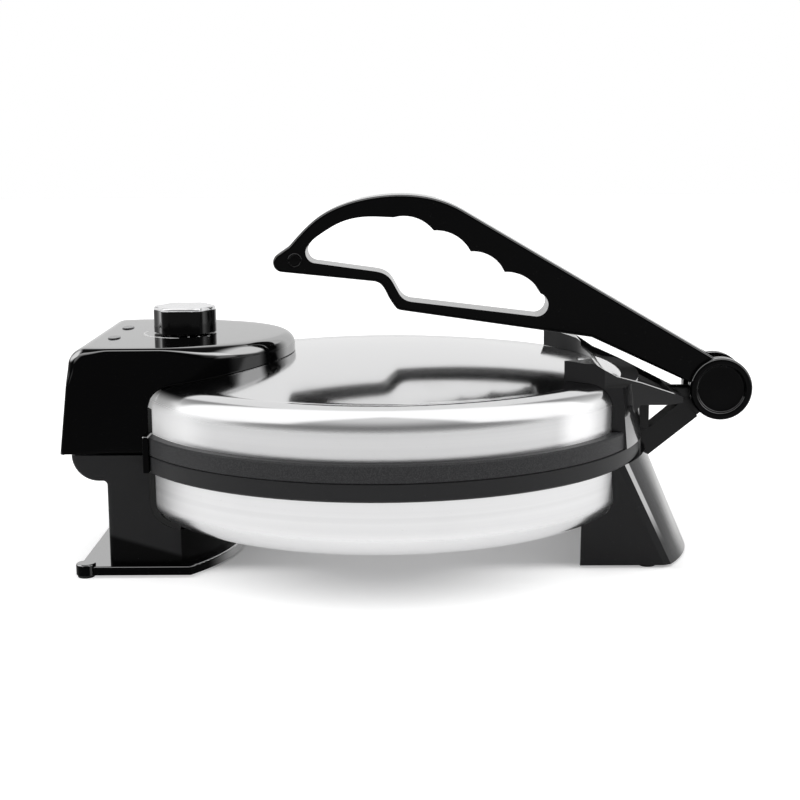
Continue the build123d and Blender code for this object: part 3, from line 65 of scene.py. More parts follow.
LID_R, PAN_R, SHOULDER_R = 129.5, 129.0, 12.0
SHOULDER_Z, CROWN_Z, SHEET = 33.6, 43.6, 0.8
PAN_BOTTOM_Z, PAN_CORNER_R, LEDGE_Z = -37.5, 12.0, 3.0
CROWN_FOOT_R, CROWN_RISE = LID_R - SHOULDER_R, CROWN_Z - SHOULDER_Z
CROWN_R = (CROWN_FOOT_R ** 2 + CROWN_RISE ** 2) / (2 * CROWN_RISE)
print("crown radius", round(CROWN_R, 1), "mm")

# %% [markdown]
# ## The camera
# The photograph is taken with a long lens from just above the lid, so the lid shows as a thin
# ellipse. The place, the tilt and the lens were solved from the ring's ellipse and the hinge.

# %% Camera
CAMERA_PLACE = (0.001346, -0.814795, 0.224486)
CAMERA_PITCH, CAMERA_YAW, CAMERA_ROLL = 0.177, -0.011, -0.008


def aim(pitch, yaw, roll):
    """Camera axes: forward from yaw and downward pitch, then right and up turned by roll."""
    forward = Vector((math.sin(yaw) * math.cos(pitch), math.cos(yaw) * math.cos(pitch), -math.sin(pitch)))
    level = Vector((math.cos(yaw), -math.sin(yaw), 0.0))
    upright = level.cross(forward)
    right = level * math.cos(roll) + upright * math.sin(roll)
    up = upright * math.cos(roll) - level * math.sin(roll)
    return Matrix((right, up, -forward)).transposed()


lens = bpy.data.cameras.new("photo_view")
lens.lens, lens.sensor_width = 69.47, 36.0
lens.clip_start, lens.clip_end = 0.05, 20.0
lens.dof.use_dof = False
camera = bpy.data.objects.new("photo_view", lens)
bpy.context.collection.objects.link(camera)
turned = aim(CAMERA_PITCH, CAMERA_YAW, CAMERA_ROLL).to_4x4()
camera.matrix_world = Matrix.Translation(CAMERA_PLACE) @ turned
bpy.context.scene.camera = camera
bpy.context.scene.view_settings.view_transform = "Standard"
print("camera at", [round(c, 3) for c in camera.location])

# %% [markdown]
# ## Wiring helpers
# Every finish below is a tree of shader nodes. A few short helpers keep that readable: one puts a
# node down and fills its sockets, one does arithmetic, others turn a range into another smoothly,
# pick out a range, blend two values and take a position apart.

# %% Node helpers
def put(tree, kind, settings=None, **sockets):
    """Adds a node; sockets given as values are set, sockets given as outputs are linked."""
    new = tree.nodes.new(kind)
    for name, value in (settings or {}).items():
        setattr(new, name, value)
    for name, value in sockets.items():
        socket = new.inputs[int(name[1:])] if name[0] == "_" else new.inputs[name.replace("_", " ")]
        if isinstance(value, bpy.types.NodeSocket):
            tree.links.new(value, socket)
        else:
            socket.default_value = value
    return new


def calc(tree, operation, first, second=0.0):
    """One arithmetic step on one or two numbers or outputs."""
    return put(tree, "ShaderNodeMath", {"operation": operation}, _0=first, _1=second).outputs[0]


def times(tree, *factors):
    """The product of several numbers or outputs."""
    product = factors[0]
    for factor in factors[1:]:
        product = calc(tree, "MULTIPLY", product, factor)
    return product


def plus(tree, *terms):
    """The sum of several numbers or outputs."""
    total = terms[0]
    for term in terms[1:]:
        total = calc(tree, "ADD", total, term)
    return total


def ramp(tree, value, low, high, out_low=0.0, out_high=1.0):
    """Smooth step from out_low to out_high while value goes from low to high."""
    node = put(tree, "ShaderNodeMapRange", {"interpolation_type": "SMOOTHSTEP"}, Value=value)
    for name, number in (("From Min", low), ("From Max", high), ("To Min", out_low), ("To Max", out_high)):
        node.inputs[name].default_value = number
    return node.outputs[0]


def between(tree, value, low0, low1, high0, high1):
    """1 while value lies between low1 and high0, with soft ends out to low0 and high1."""
    return times(tree, ramp(tree, value, low0, low1), ramp(tree, value, high0, high1, 1.0, 0.0))


def blend_value(tree, factor, first, second):
    """first + factor * (second - first), for numbers or outputs."""
    node = tree.nodes.new("ShaderNodeMix")
    for slot, value in ((0, factor), (2, first), (3, second)):
        if isinstance(value, bpy.types.NodeSocket):
            tree.links.new(value, node.inputs[slot])
        else:
            node.inputs[slot].default_value = value
    return node.outputs[0]


def blend_colour(tree, factor, first, second):
    """The same for two colours."""
    node = tree.nodes.new("ShaderNodeMix")
    node.data_type = "RGBA"
    for slot, value in ((0, factor), (6, first), (7, second)):
        if isinstance(value, bpy.types.NodeSocket):
            tree.links.new(value, node.inputs[slot])
        else:
            node.inputs[slot].default_value = value if slot == 0 else (*value, 1.0)
    return node.outputs[2]


def spread(tree, spot):
    """The three coordinates of a position or direction."""
    return put(tree, "ShaderNodeSeparateXYZ", Vector=spot).outputs


def centred(tree, spot):
    """A position measured from the axis of the pans in place of the frame's middle."""
    return put(tree, "ShaderNodeMapping", Vector=spot, Location=(AXIS_X / 1000, 0.0, 0.0)).outputs[0]


print("node helpers ready")

# %% [markdown]
# ## The studio
# Polished steel is a mirror, so what stands round it is half of its look. Read back from the
# reflections in the lid, the studio has a white backdrop behind, a large soft light overhead that
# reaches down on both sides, dark gaps between it and the backdrop, and a dark room in front,
# where the camera stands. A world shader can say all that by direction alone: three plane edges
# cut the overhead light out of the sky.

# %% World by direction
SOFTBOX_LIGHT, BACKDROP_LIGHT, GAP_LIGHT = 1.28, 0.88, 0.30
world = bpy.data.worlds.new("studio")
bpy.context.scene.world = world
world.use_nodes = True
sky = world.node_tree
sky.nodes.clear()
axes = spread(sky, put(sky, "ShaderNodeTexCoord").outputs["Generated"])
aside, back, height = calc(sky, "ABSOLUTE", axes[0]), axes[1], axes[2]

back_edge = calc(sky, "SUBTRACT", plus(sky, times(sky, height, 0.28), times(sky, aside, 0.25)), back)
front_reach = calc(sky, "MINIMUM", plus(sky, times(sky, height, 0.33), times(sky, aside, 0.75)),
                   times(sky, height, 1.45))
front_edge = plus(sky, front_reach, back)
softbox = times(sky, ramp(sky, back_edge, -0.06, 0.07), ramp(sky, front_edge, -0.10, 0.06),
                ramp(sky, height, 0.09, 0.20))

gap = times(sky, ramp(sky, calc(sky, "SUBTRACT", aside, back), -0.06, 0.10), ramp(sky, height, 0.22, 0.45))
backdrop = blend_value(sky, gap, BACKDROP_LIGHT, GAP_LIGHT)
room = plus(sky, ramp(sky, height, 0.30, 0.92, 0.20, 0.78), ramp(sky, height, -0.05, 0.30, 0.22, 0.0))
surround = blend_value(sky, ramp(sky, back, -0.42, -0.12), room, backdrop)
studio_light = blend_value(sky, softbox, surround, SOFTBOX_LIGHT)

path = put(sky, "ShaderNodeLightPath")
seen = calc(sky, "MAXIMUM", path.outputs["Is Camera Ray"], path.outputs["Is Transmission Ray"])
glow = put(sky, "ShaderNodeBackground", Color=(1.0, 1.0, 1.0, 1.0),
           Strength=blend_value(sky, seen, studio_light, 1.0))
put(sky, "ShaderNodeOutputWorld", Surface=glow.outputs[0])
print("world nodes", len(sky.nodes))

# %% [markdown]
# The floor is the studio's white sweep. It must look pure white to the camera yet keep the soft
# shadow under the appliance. So it is a light grey that scatters the room's light, and adds a
# glow of its own: for mirror rays a painted pool of light round the pans, and for the camera a
# glow that drops under and just in front of the pans, a painted shadow that deepens the real one.

# %% Floor
# Camera glow inside the painted shadow under the pans, and on the open floor.
PAINTED_SHADOW_GLOW, OPEN_GLOW = 0.12, 0.57


def grid_mesh(name, points, close_u=False, close_v=False):
    """A mesh from an array of points (rows v, columns u): one quad for each cell of the grid."""
    rows, cols = points.shape[:2]
    index = np.arange(rows * cols).reshape(rows, cols)
    if close_u:
        index = np.hstack([index, index[:, :1]])
    if close_v:
        index = np.vstack([index, index[:1]])
    quads = np.stack([index[:-1, :-1], index[:-1, 1:], index[1:, 1:], index[1:, :-1]], -1).reshape(-1, 4)
    mesh = bpy.data.meshes.new(name)
    mesh.from_pydata(points.reshape(-1, 3), [], quads)
    return mesh


floor_line = np.linspace(-4.0, 4.0, 9)
gx, gy = np.meshgrid(floor_line, floor_line)
floor = bpy.data.objects.new("studio_floor", grid_mesh("studio_floor", np.stack([gx, gy, 0 * gx], -1)))
bpy.context.collection.objects.link(floor)
white = bpy.data.materials.new("white_sweep")
white.use_nodes = True
tree = white.node_tree
tree.nodes.clear()
spot = put(tree, "ShaderNodeTexCoord").outputs["Object"]
far = put(tree, "ShaderNodeVectorMath", {"operation": "LENGTH"}, _0=spot).outputs["Value"]
rays = put(tree, "ShaderNodeLightPath").outputs
# Painted pool of light: the floor seen in mirrors glows more near the pans.
painted_mirror_light = times(tree, rays["Is Glossy Ray"], ramp(tree, far, 0.22, 0.62, 0.30, 0.02))
# Painted shadow: the camera's glow drops under and just in front of the pans.
ground = spread(tree, centred(tree, spot))
beside = calc(tree, "ABSOLUTE", ground[0])
ahead = calc(tree, "MAXIMUM", calc(tree, "SUBTRACT", -0.038, ground[1]), 0.0)
oval = calc(tree, "SQRT", plus(tree, times(tree, beside, beside), times(tree, ahead, ahead)))
outside_painted_shadow = times(tree, ramp(tree, oval, 0.015, 0.105), ramp(tree, ahead, 0.0, 0.022))
for clear in (ramp(tree, beside, 0.125, 0.165), ramp(tree, ground[1], 0.09, 0.16)):
    outside_painted_shadow = calc(tree, "MAXIMUM", outside_painted_shadow, clear)
eye_glow = times(tree, rays["Is Camera Ray"], blend_value(tree, outside_painted_shadow, PAINTED_SHADOW_GLOW, OPEN_GLOW))
scatter = put(tree, "ShaderNodeBsdfDiffuse", Color=(0.80, 0.80, 0.80, 1.0))
shine = put(tree, "ShaderNodeEmission", Color=(1.0, 1.0, 1.0, 1.0),
            Strength=plus(tree, painted_mirror_light, eye_glow))
both = put(tree, "ShaderNodeAddShader", _0=scatter.outputs[0], _1=shine.outputs[0])
put(tree, "ShaderNodeOutputMaterial", Surface=both.outputs[0])
floor.data.materials.append(white)
print("floor", len(floor.data.polygons), "faces")

# %% [markdown]
# ## Shared surface effects
# A moulded or rolled surface is never quite even. Three node groups give that life to all
# finishes. They put out only masks and heights; shaders stay in the material. The first is a
# spark-eroded grain with long-wave flow marks that make the roughness wander.

# %% Group: moulded grain
def new_group(name, inputs, outputs):
    """An empty node group with a position, number inputs {name: default} and number outputs."""
    group = bpy.data.node_groups.new(name, "ShaderNodeTree")
    group.interface.new_socket("Position", in_out="INPUT", socket_type="NodeSocketVector")
    for label, value in inputs.items():
        socket = group.interface.new_socket(label, in_out="INPUT", socket_type="NodeSocketFloat")
        socket.default_value = value
    for label in outputs:
        group.interface.new_socket(label, in_out="OUTPUT", socket_type="NodeSocketFloat")
    return group, group.nodes.new("NodeGroupInput").outputs, group.nodes.new("NodeGroupOutput").inputs


grain_group, given, result = new_group(
    "moulded_grain", {"Grains per metre": 2500.0, "Roughness": 0.4, "Spread": 0.1}, ("Height", "Roughness"))
fine = put(grain_group, "ShaderNodeTexNoise", Vector=given["Position"], Scale=given["Grains per metre"],
           Detail=3.0)
flow = put(grain_group, "ShaderNodeTexNoise", Vector=given["Position"], Scale=22.0, Detail=2.0)
mix = plus(grain_group, times(grain_group, fine.outputs[0], 0.5), times(grain_group, flow.outputs[0], 0.5))
swing = times(grain_group, calc(grain_group, "SUBTRACT", mix, 0.5), given["Spread"])
grain_group.links.new(fine.outputs[0], result["Height"])
grain_group.links.new(plus(grain_group, given["Roughness"], swing), result["Roughness"])
print("moulded_grain", len(grain_group.nodes))

# %% [markdown]
# The second is what hands and air leave behind: cloudy smudges, and specks of dust that settle
# only in patches, because one noise decides where the specks of the other pattern may show.

# %% Group: handling marks and dust
marks_group, given, result = new_group(
    "handling_marks", {"Smudges per metre": 28.0, "Dust per metre": 900.0}, ("Smudge", "Dust"))
cloud = put(marks_group, "ShaderNodeTexNoise", Vector=given["Position"], Scale=given["Smudges per metre"],
            Detail=4.0, Roughness=0.62)
speck = put(marks_group, "ShaderNodeTexVoronoi", Vector=given["Position"], Scale=given["Dust per metre"])
pick = put(marks_group, "ShaderNodeTexNoise", Vector=given["Position"], Scale=310.0, Detail=1.0)
dust = times(marks_group, ramp(marks_group, speck.outputs["Distance"], 0.16, 0.05),
             ramp(marks_group, pick.outputs[0], 0.58, 0.70))
marks_group.links.new(ramp(marks_group, cloud.outputs[0], 0.50, 0.72), result["Smudge"])
marks_group.links.new(dust, result["Dust"])
print("handling_marks", len(marks_group.nodes))

# %% [markdown]
# The third is the rings that a spinning tool leaves in sheet steel. Its position comes centred on
# the pans' axis: the lines follow radius and height, and hardly change with the angle.

# %% Group: spun lines
spun_group, given, result = new_group(
    "spun_lines", {"Lines per metre": 1800.0, "Angle drift": 0.9}, ("Height", "Streak"))
x, y, z = spread(spun_group, given["Position"])
radius = calc(spun_group, "SQRT", plus(spun_group, times(spun_group, x, x), times(spun_group, y, y)))
turn = calc(spun_group, "ARCTAN2", y, x)
lines = put(spun_group, "ShaderNodeCombineXYZ", X=times(spun_group, radius, given["Lines per metre"]),
            Y=times(spun_group, z, given["Lines per metre"]),
            Z=times(spun_group, turn, given["Angle drift"]))
fine = put(spun_group, "ShaderNodeTexNoise", Vector=lines.outputs[0], Scale=1.0, Detail=3.0, Roughness=0.6)
wide = put(spun_group, "ShaderNodeTexNoise", Vector=lines.outputs[0], Scale=0.16, Detail=2.0)
spun_group.links.new(fine.outputs[0], result["Height"])
spun_group.links.new(wide.outputs[0], result["Streak"])
print("spun_lines", len(spun_group.nodes))

# %% [markdown]
# ## Spun steel
# The lid and the pan are pressed from stainless sheet. The crown and the rolled shoulder are
# buffed to a mirror, the upright walls keep the fine level lines of the belt that finished them,
# so they return a soft, even light. One builder makes both: roughness climbs where the wall
# begins. The lid's wall also gets a painted glow, an emission of its own, beside the control box
# and at the rear, painting light where the mirrored black parts would darken it.

# %% Steel
def use(tree, group, position, **values):
    """Puts a shared group into a material at a position, with its own values."""
    node = tree.nodes.new("ShaderNodeGroup")
    node.node_tree = group
    tree.links.new(position, node.inputs["Position"])
    for name, value in values.items():
        node.inputs[name.replace("_", " ")].default_value = value
    return node.outputs


def start(name):
    """A new material: its tree, its Principled shader and the Object coordinates."""
    material = bpy.data.materials.new(name)
    material.use_nodes = True
    tree = material.node_tree
    tree.nodes.clear()
    shader = tree.nodes.new("ShaderNodeBsdfPrincipled")
    put(tree, "ShaderNodeOutputMaterial", Surface=shader.outputs[0])
    return material, tree, shader, put(tree, "ShaderNodeTexCoord").outputs["Object"]


def bump(tree, shader, height, depth, strength=1.0):
    """Feeds a height into the shader's normal; depth is in metres."""
    node = put(tree, "ShaderNodeBump", Height=height, Distance=depth, Strength=strength)
    tree.links.new(node.outputs[0], shader.inputs["Normal"])


def spun_steel(name, colour, mirror_rough, wall_rough, wall_from, wall_to, lift=0.0):
    """Stainless steel that goes from satin on its wall to mirror between two heights in metres.

    wall_from is on the wall's side, wall_to on the mirror's side; lift is the strength of a painted glow, an
    emission added near the wall's ends.
    """
    material, tree, shader, spot = start(name)
    spun = use(tree, spun_group, centred(tree, spot))
    marks = use(tree, marks_group, spot)
    along, _, level = spread(tree, spot)
    satin = ramp(tree, level, wall_from, wall_to, 1.0, 0.0)
    near_box = times(tree, ramp(tree, along, -0.128, -0.100, 0.22, 0.0), satin)
    streaky = times(tree, calc(tree, "SUBTRACT", spun["Streak"], 0.5), satin, 0.10)
    rough = plus(tree, blend_value(tree, satin, mirror_rough, wall_rough), near_box,
                 times(tree, marks["Smudge"], 0.035), streaky)
    tree.links.new(rough, shader.inputs["Roughness"])
    streak = blend_value(tree, satin, 0.5, ramp(tree, spun["Streak"], 0.3, 0.7))
    tone = blend_colour(tree, streak, tuple(c * 0.965 for c in colour), tuple(c * 1.03 for c in colour))
    tree.links.new(blend_colour(tree, marks["Dust"], tone, (0.55, 0.55, 0.55)), shader.inputs["Base Color"])
    shader.inputs["Metallic"].default_value = 1.0
    # Painted glow: emission on the wall beside the control box and at the rear, standing in for light.
    if lift:
        ends = calc(tree, "MAXIMUM", ramp(tree, along, -0.122, -0.092, 1.0, 0.0),
                    between(tree, along, 0.066, 0.077, 0.082, 0.095))
        painted_light = times(tree, ends, ramp(tree, level, 0.0910, 0.0955, lift, 0.0))
        painted_glow = put(tree, "ShaderNodeCombineXYZ", X=painted_light, Y=painted_light, Z=painted_light)
        tree.links.new(painted_glow.outputs[0], shader.inputs["Emission Color"])
        shader.inputs["Emission Strength"].default_value = 1.0
    bump(tree, shader, times(tree, spun["Height"], satin), 0.000006, 0.6)
    return material


lid_steel = spun_steel("lid_steel_spun", (0.79, 0.79, 0.795), 0.11, 0.30, 0.0845, 0.0935, lift=0.34)
pan_steel = spun_steel("pan_steel_spun", (0.84, 0.84, 0.845), 0.16, 0.30, 0.040, 0.028)
print("steel ready")

# %% [markdown]
# ## Black mouldings
# Several blacks make this object: mirror-black on the control box and the knob, smooth black on
# the bracket and feet, satin on the front leg, semi-gloss on the handle, fine-grained dark grey
# on the rings, dull rubber under the feet. A glossy black seen square on shows almost nothing,
# seen along its surface it mirrors the room, so a clear coat comes in with Layer Weight's facing
# value, and goes away on faces that look down, a painted shade. A coat-painting function can then
# paint highlights or shade into that coat for one kind of part.

# %% Builder for plastics and rubber
def moulded(name, colour, rough, gloss, grain=0.0, grains=2500.0, sway=0.10, dust=0.25, fleck=0.0,
            coat=0.0, coat_ior=1.6, coat_from=0.30, coat_full=0.80, coat_painting=None, shade=None, dark=None):
    """Moulded plastic: colour, roughness, straight-on gloss, grain depth in metres, edge-on coat.

    shade(tree, spot) masks where the colour is dark; the coat-painting function returns the coat,
    with painted highlights or painted shade in it, and an added roughness.
    """
    material, tree, shader, spot = start(name)
    skin = use(tree, grain_group, spot, Grains_per_metre=grains, Roughness=rough, Spread=sway)
    marks = use(tree, marks_group, spot)
    uneven, dull = plus(tree, skin["Roughness"], times(tree, marks["Smudge"], 0.05)), 0.0
    lighter = tuple(c * (1.0 + fleck) + 0.004 * fleck for c in colour)
    tone = blend_colour(tree, ramp(tree, skin["Height"], 0.4, 0.65), colour, lighter)
    if shade:
        tone = blend_colour(tree, shade(tree, spot), tone, dark)
    dusty = times(tree, marks["Dust"], dust)
    tree.links.new(blend_colour(tree, dusty, tone, (0.22, 0.22, 0.22)), shader.inputs["Base Color"])
    shader.inputs["Specular IOR Level"].default_value = gloss
    if grain:
        bump(tree, shader, skin["Height"], grain)
    if coat:
        facing = put(tree, "ShaderNodeLayerWeight", Blend=0.5).outputs["Facing"]
        normal = spread(tree, tree.nodes.new("ShaderNodeNewGeometry").outputs["Normal"])
        # Painted shade: the coat goes away on faces that look down.
        cover = times(tree, ramp(tree, facing, coat_from, coat_full, 0.0, coat),
                      ramp(tree, normal[2], -0.5, -0.1))
        # Painted highlights or painted shade, shaped by normals and places for one kind of part.
        if coat_painting:
            cover, dull = coat_painting(tree, cover, facing, normal, spot)
        tree.links.new(cover, shader.inputs["Coat Weight"])
        shader.inputs["Coat IOR"].default_value = coat_ior
        shader.inputs["Coat Roughness"].default_value = 0.035
    tree.links.new(plus(tree, uneven, dull), shader.inputs["Roughness"])
    return material


print("moulding builder ready")

# %% [markdown]
# ### Painted highlights and painted shade in the coat
# These functions paint thin light lines and lit patches into the coat on rolled edges that look
# up, and take the coat away to paint shade where a part should stay dark. Normals and places
# decide, in metres of the frame. Slanting edges are found with their plane a x + b y + c z.

# %% Coat shaped for each part
FOOT_SIDE = 0.106 - 0.46 * AXIS_X / 1000 + 0.09 * SEAM_Z / 1000       # plane of the rear foot's near side


def box_painted_highlights(tree, cover, facing, normal, spot):
    """Painted highlights: a light line on the rolled edge, a lit patch on the tongue's roll, a lit brow
    corner, a wall lit more in mirrors; painted shade on the front edge.
    """
    across, _, up = normal
    painted_edge_line = times(tree, between(tree, facing, 0.035, 0.06, 0.10, 0.14), ramp(tree, up, 0.05, 0.20))
    patch = times(tree, between(tree, across, 0.30, 0.48, 0.70, 0.78), ramp(tree, up, 0.12, 0.30), 0.85)
    brow = times(tree, between(tree, across, -0.85, -0.65, -0.25, -0.12), ramp(tree, up, 0.15, 0.35))
    # Painted shade: the coat is taken off the front edge that looks to the left.
    painted_dark_edge = times(tree, ramp(tree, across, -0.50, -0.80), ramp(tree, up, 0.45, 0.25))
    cover = times(tree, cover, calc(tree, "SUBTRACT", 1.0, painted_dark_edge))
    # Painted reflection: the coat on walls that look towards the hinge is stronger for mirror rays than for
    # the camera.
    painted_reflection_strength = blend_value(tree, put(tree, "ShaderNodeLightPath").outputs["Is Glossy Ray"], 0.10, 0.55)
    wall = times(tree, between(tree, across, 0.50, 0.60, 0.74, 0.80), painted_reflection_strength)
    for painted_light in (painted_edge_line, patch, brow, wall):
        cover = calc(tree, "MAXIMUM", cover, painted_light)
    return cover, 0.0


def bracket_painted_shade(tree, cover, facing, normal, spot):
    """Painted shade on the bracket's arm: its coat is taken away and its roughness raised, but for a line
    along its near edge.
    """
    x, y, _ = spread(tree, spot)
    rim = plus(tree, times(tree, x, 0.67), times(tree, y, -0.74))
    painted_dark = times(tree, ramp(tree, normal[2], 0.5, 0.8), ramp(tree, x, 0.1008, 0.1048),
                 ramp(tree, rim, 0.1065, 0.1059))
    return times(tree, cover, calc(tree, "SUBTRACT", 1.0, painted_dark)), times(tree, painted_dark, 0.7)


def foot_painted_highlight(tree, cover, facing, normal, spot):
    """A painted highlight: a light strip where the rear foot's side meets its bowed back."""
    x, y, z = spread(tree, spot)
    depth = plus(tree, times(tree, x, 0.46), times(tree, y, -0.88), times(tree, z, 0.09))
    strip = times(tree, ramp(tree, depth, FOOT_SIDE - 0.0026, FOOT_SIDE - 0.0020),
                  ramp(tree, facing, 0.35, 0.45), ramp(tree, z, 0.012, 0.034))
    return calc(tree, "MAXIMUM", cover, strip), 0.0


def handle_painted_highlight(tree, cover, facing, normal, spot):
    """A painted highlight: a soft light line on edges that look up."""
    painted_edge_line = times(tree, between(tree, facing, 0.12, 0.20, 0.26, 0.33), ramp(tree, normal[2], 0.05, 0.20),
                    0.8)
    return calc(tree, "MAXIMUM", cover, painted_edge_line), 0.0


print("sheen for four kinds of part, rear foot's side plane at", round(FOOT_SIDE, 4), "m")

# %% [markdown]
# ### The blacks, one by one
# The front leg is moulded satin with a painted dark reflection on its bowed rear wall and on the
# foot of its sides, and the lower ring is darker than the upper one. Both are one material whose
# colour a mask by place switches.

# %% Plastics and rubber
def leg_painted_dark(tree, spot):
    """1 where a painted dark reflection goes: the leg's bowed rear wall and the foot of its sides."""
    x, _, z = spread(tree, spot)
    slant = plus(tree, z, times(tree, plus(tree, x, 0.1545), 0.3))
    low_part = ramp(tree, slant, 0.0195, 0.0225, 1.0, 0.0)
    return calc(tree, "MAXIMUM", low_part, ramp(tree, x, -0.1187, -0.1177))


def lower_ring(tree, spot):
    """1 on the lower ring, 0 on the upper one."""
    return ramp(tree, spread(tree, spot)[2], 0.0636, 0.0640, 1.0, 0.0)


MIRROR_COLOUR = (0.0014, 0.0014, 0.0016)
DEEP_COLOUR = (0.0018, 0.0018, 0.0020)
SMOOTH_COLOUR = (0.0090, 0.0090, 0.0098)
gloss_black = moulded("gloss_black_moulded", MIRROR_COLOUR, 0.10, 0.03, sway=0.05, dust=0.10,
                      coat=1.0, coat_ior=6.0, coat_from=0.42, coat_full=0.66, coat_painting=box_painted_highlights)
knob_black = moulded("knob_black_moulded", DEEP_COLOUR, 0.12, 0.10, sway=0.05, dust=0.10,
                     coat=0.8, coat_ior=1.7)
body_black = moulded("body_black_moulded", SMOOTH_COLOUR, 0.22, 0.20, grain=0.000006, grains=1600.0,
                     coat=0.95, coat_ior=3.4, coat_from=0.50, coat_full=0.68, coat_painting=bracket_painted_shade)
foot_black = moulded("rear_foot_moulded", SMOOTH_COLOUR, 0.22, 0.20, grain=0.000006, grains=1600.0,
                     coat=1.0, coat_ior=8.0, coat_from=0.68, coat_full=0.87, coat_painting=foot_painted_highlight)
# The front leg's dark colour below is a painted dark reflection on its rear wall and low sides.
leg_black = moulded("leg_black_moulded", (0.029, 0.029, 0.030), 0.30, 0.05, grain=0.000010, grains=1600.0,
                    coat=0.6, coat_ior=1.9, coat_from=0.60, coat_full=0.90,
                    shade=leg_painted_dark, dark=(0.0012, 0.0012, 0.0013))
handle_black = moulded("handle_black_moulded", DEEP_COLOUR, 0.20, 0.06, grain=0.000004, grains=1400.0,
                       coat=0.75, coat_ior=2.6, coat_from=0.34, coat_full=0.60, coat_painting=handle_painted_highlight)
ring_plastic = moulded("ring_plastic_grained", (0.0290, 0.0291, 0.0305), 0.46, 0.22, grain=0.00004,
                       grains=1900.0, sway=0.22, fleck=0.7, shade=lower_ring, dark=(0.0205, 0.0206, 0.0217))
rubber = moulded("rubber_matt", (0.016, 0.016, 0.016), 0.75, 0.35, grain=0.00004, grains=900.0, dust=0.6)
gland_black = moulded("gland_black_nylon", (0.014, 0.014, 0.014), 0.42, 0.35, grain=0.00002, grains=1500.0)
holder_white = moulded("lamp_holder_nylon", (0.78, 0.77, 0.74), 0.5, 0.4, grain=0.00002, fleck=0.05)
thermostat_resin = moulded("thermostat_resin", (0.30, 0.20, 0.12), 0.55, 0.35, grain=0.00003, fleck=0.2)
ceramic_white = moulded("terminal_ceramic", (0.80, 0.79, 0.75), 0.42, 0.5, grain=0.00003, grains=900.0,
                        fleck=0.04)
print("mouldings ready")

# %% [markdown]
# ## Metals of the small parts and the smoked lamp lens
# Zinc-plated screws, the heater's dull sheath, the copper sensor rod and the bright knob disc
# differ in colour and in how finely they are turned. The cooking plates are cast aluminium under
# a dark non-stick coat, with the faint orange-peel of a sprayed film.

# %% Metals, coat and lens
def small_metal(name, colour, rough, grains, depth):
    """A plated or turned metal: even colour with fine roughness changes and a shallow grain."""
    material, tree, shader, spot = start(name)
    skin = use(tree, grain_group, spot, Grains_per_metre=grains, Roughness=rough, Spread=0.16)
    marks = use(tree, marks_group, spot, Smudges_per_metre=90.0)
    tree.links.new(skin["Roughness"], shader.inputs["Roughness"])
    tone = blend_colour(tree, marks["Smudge"], colour, tuple(c * 0.82 for c in colour))
    tree.links.new(tone, shader.inputs["Base Color"])
    shader.inputs["Metallic"].default_value = 1.0
    bump(tree, shader, skin["Height"], depth)
    return material


knob_metal = small_metal("knob_metal_turned", (0.86, 0.86, 0.87), 0.16, 2600.0, 0.000004)
zinc_steel = small_metal("zinc_steel_plated", (0.66, 0.67, 0.68), 0.34, 1400.0, 0.00001)
heater_sheath = small_metal("heater_sheath_dull", (0.34, 0.33, 0.32), 0.46, 900.0, 0.00003)
copper_rod = small_metal("copper_rod_drawn", (0.78, 0.44, 0.30), 0.30, 1500.0, 0.00001)

nonstick, tree, shader, spot = start("nonstick_plate_sprayed")
skin = use(tree, grain_group, spot, Grains_per_metre=420.0, Roughness=0.38, Spread=0.12)
marks = use(tree, marks_group, spot, Dust_per_metre=600.0)
tree.links.new(skin["Roughness"], shader.inputs["Roughness"])
film = blend_colour(tree, marks["Dust"], (0.022, 0.022, 0.024), (0.12, 0.12, 0.12))
tree.links.new(film, shader.inputs["Base Color"])
bump(tree, shader, skin["Height"], 0.00005)

lens_smoke, tree, shader, spot = start("lamp_lens_smoked")
marks = use(tree, marks_group, spot, Smudges_per_metre=160.0)
tree.links.new(ramp(tree, marks["Smudge"], 0.0, 1.0, 0.06, 0.14), shader.inputs["Roughness"])
shader.inputs["Base Color"].default_value = (0.05, 0.05, 0.055, 1.0)
shader.inputs["IOR"].default_value = 1.49
shader.inputs["Transmission Weight"].default_value = 0.25
print("small parts ready")

# %% [markdown]
# ## Finishes on the CAD nodes
# The record names a material slot for each node. A table leads from slot to finish, and two nodes
# have a finish of their own. Nodes that a finer skin replaces later are dressed here all the same.

# %% Which slot gets which finish
FINISH = {
    "lid_steel": lid_steel, "pan_steel": pan_steel, "ring_plastic": ring_plastic, "gloss_black": gloss_black,
    "body_black": body_black, "handle_black": handle_black, "knob_black": knob_black,
    "knob_metal": knob_metal,
    "lamp_lens": lens_smoke, "lamp_holder": holder_white, "rubber": rubber, "nonstick_plate": nonstick,
    "heater_sheath": heater_sheath, "zinc_steel": zinc_steel, "thermostat_body": thermostat_resin,
    "copper_rod": copper_rod, "gland_black": gland_black, "ceramic": ceramic_white,
}
OWN_FINISH = {"front_leg": leg_black, "rear_foot": foot_black}
SLOT_OF = {part["node"]: part["material_slot"] for part in frame["record"]["subparts"]}
for name, node in frame["nodes"].items():
    finish = OWN_FINISH.get(name, FINISH[SLOT_OF[name]])
    if not node.material_slots:
        node.data.materials.append(finish)
    for holder in node.material_slots:
        holder.material = finish
print("finishes on", len(frame["nodes"]), "nodes")

# %% [markdown]
# ## Skins worked out with numpy
# Curved parts that mirror the room need far finer surfaces than a CAD export gives. Each one is a
# function of two parameters on a grid, written as whole arrays, and replaces its CAD node.

# %% Helpers for new skins
WELD = 1e-6                              # metres; joins the points of a pole or of a closed profile


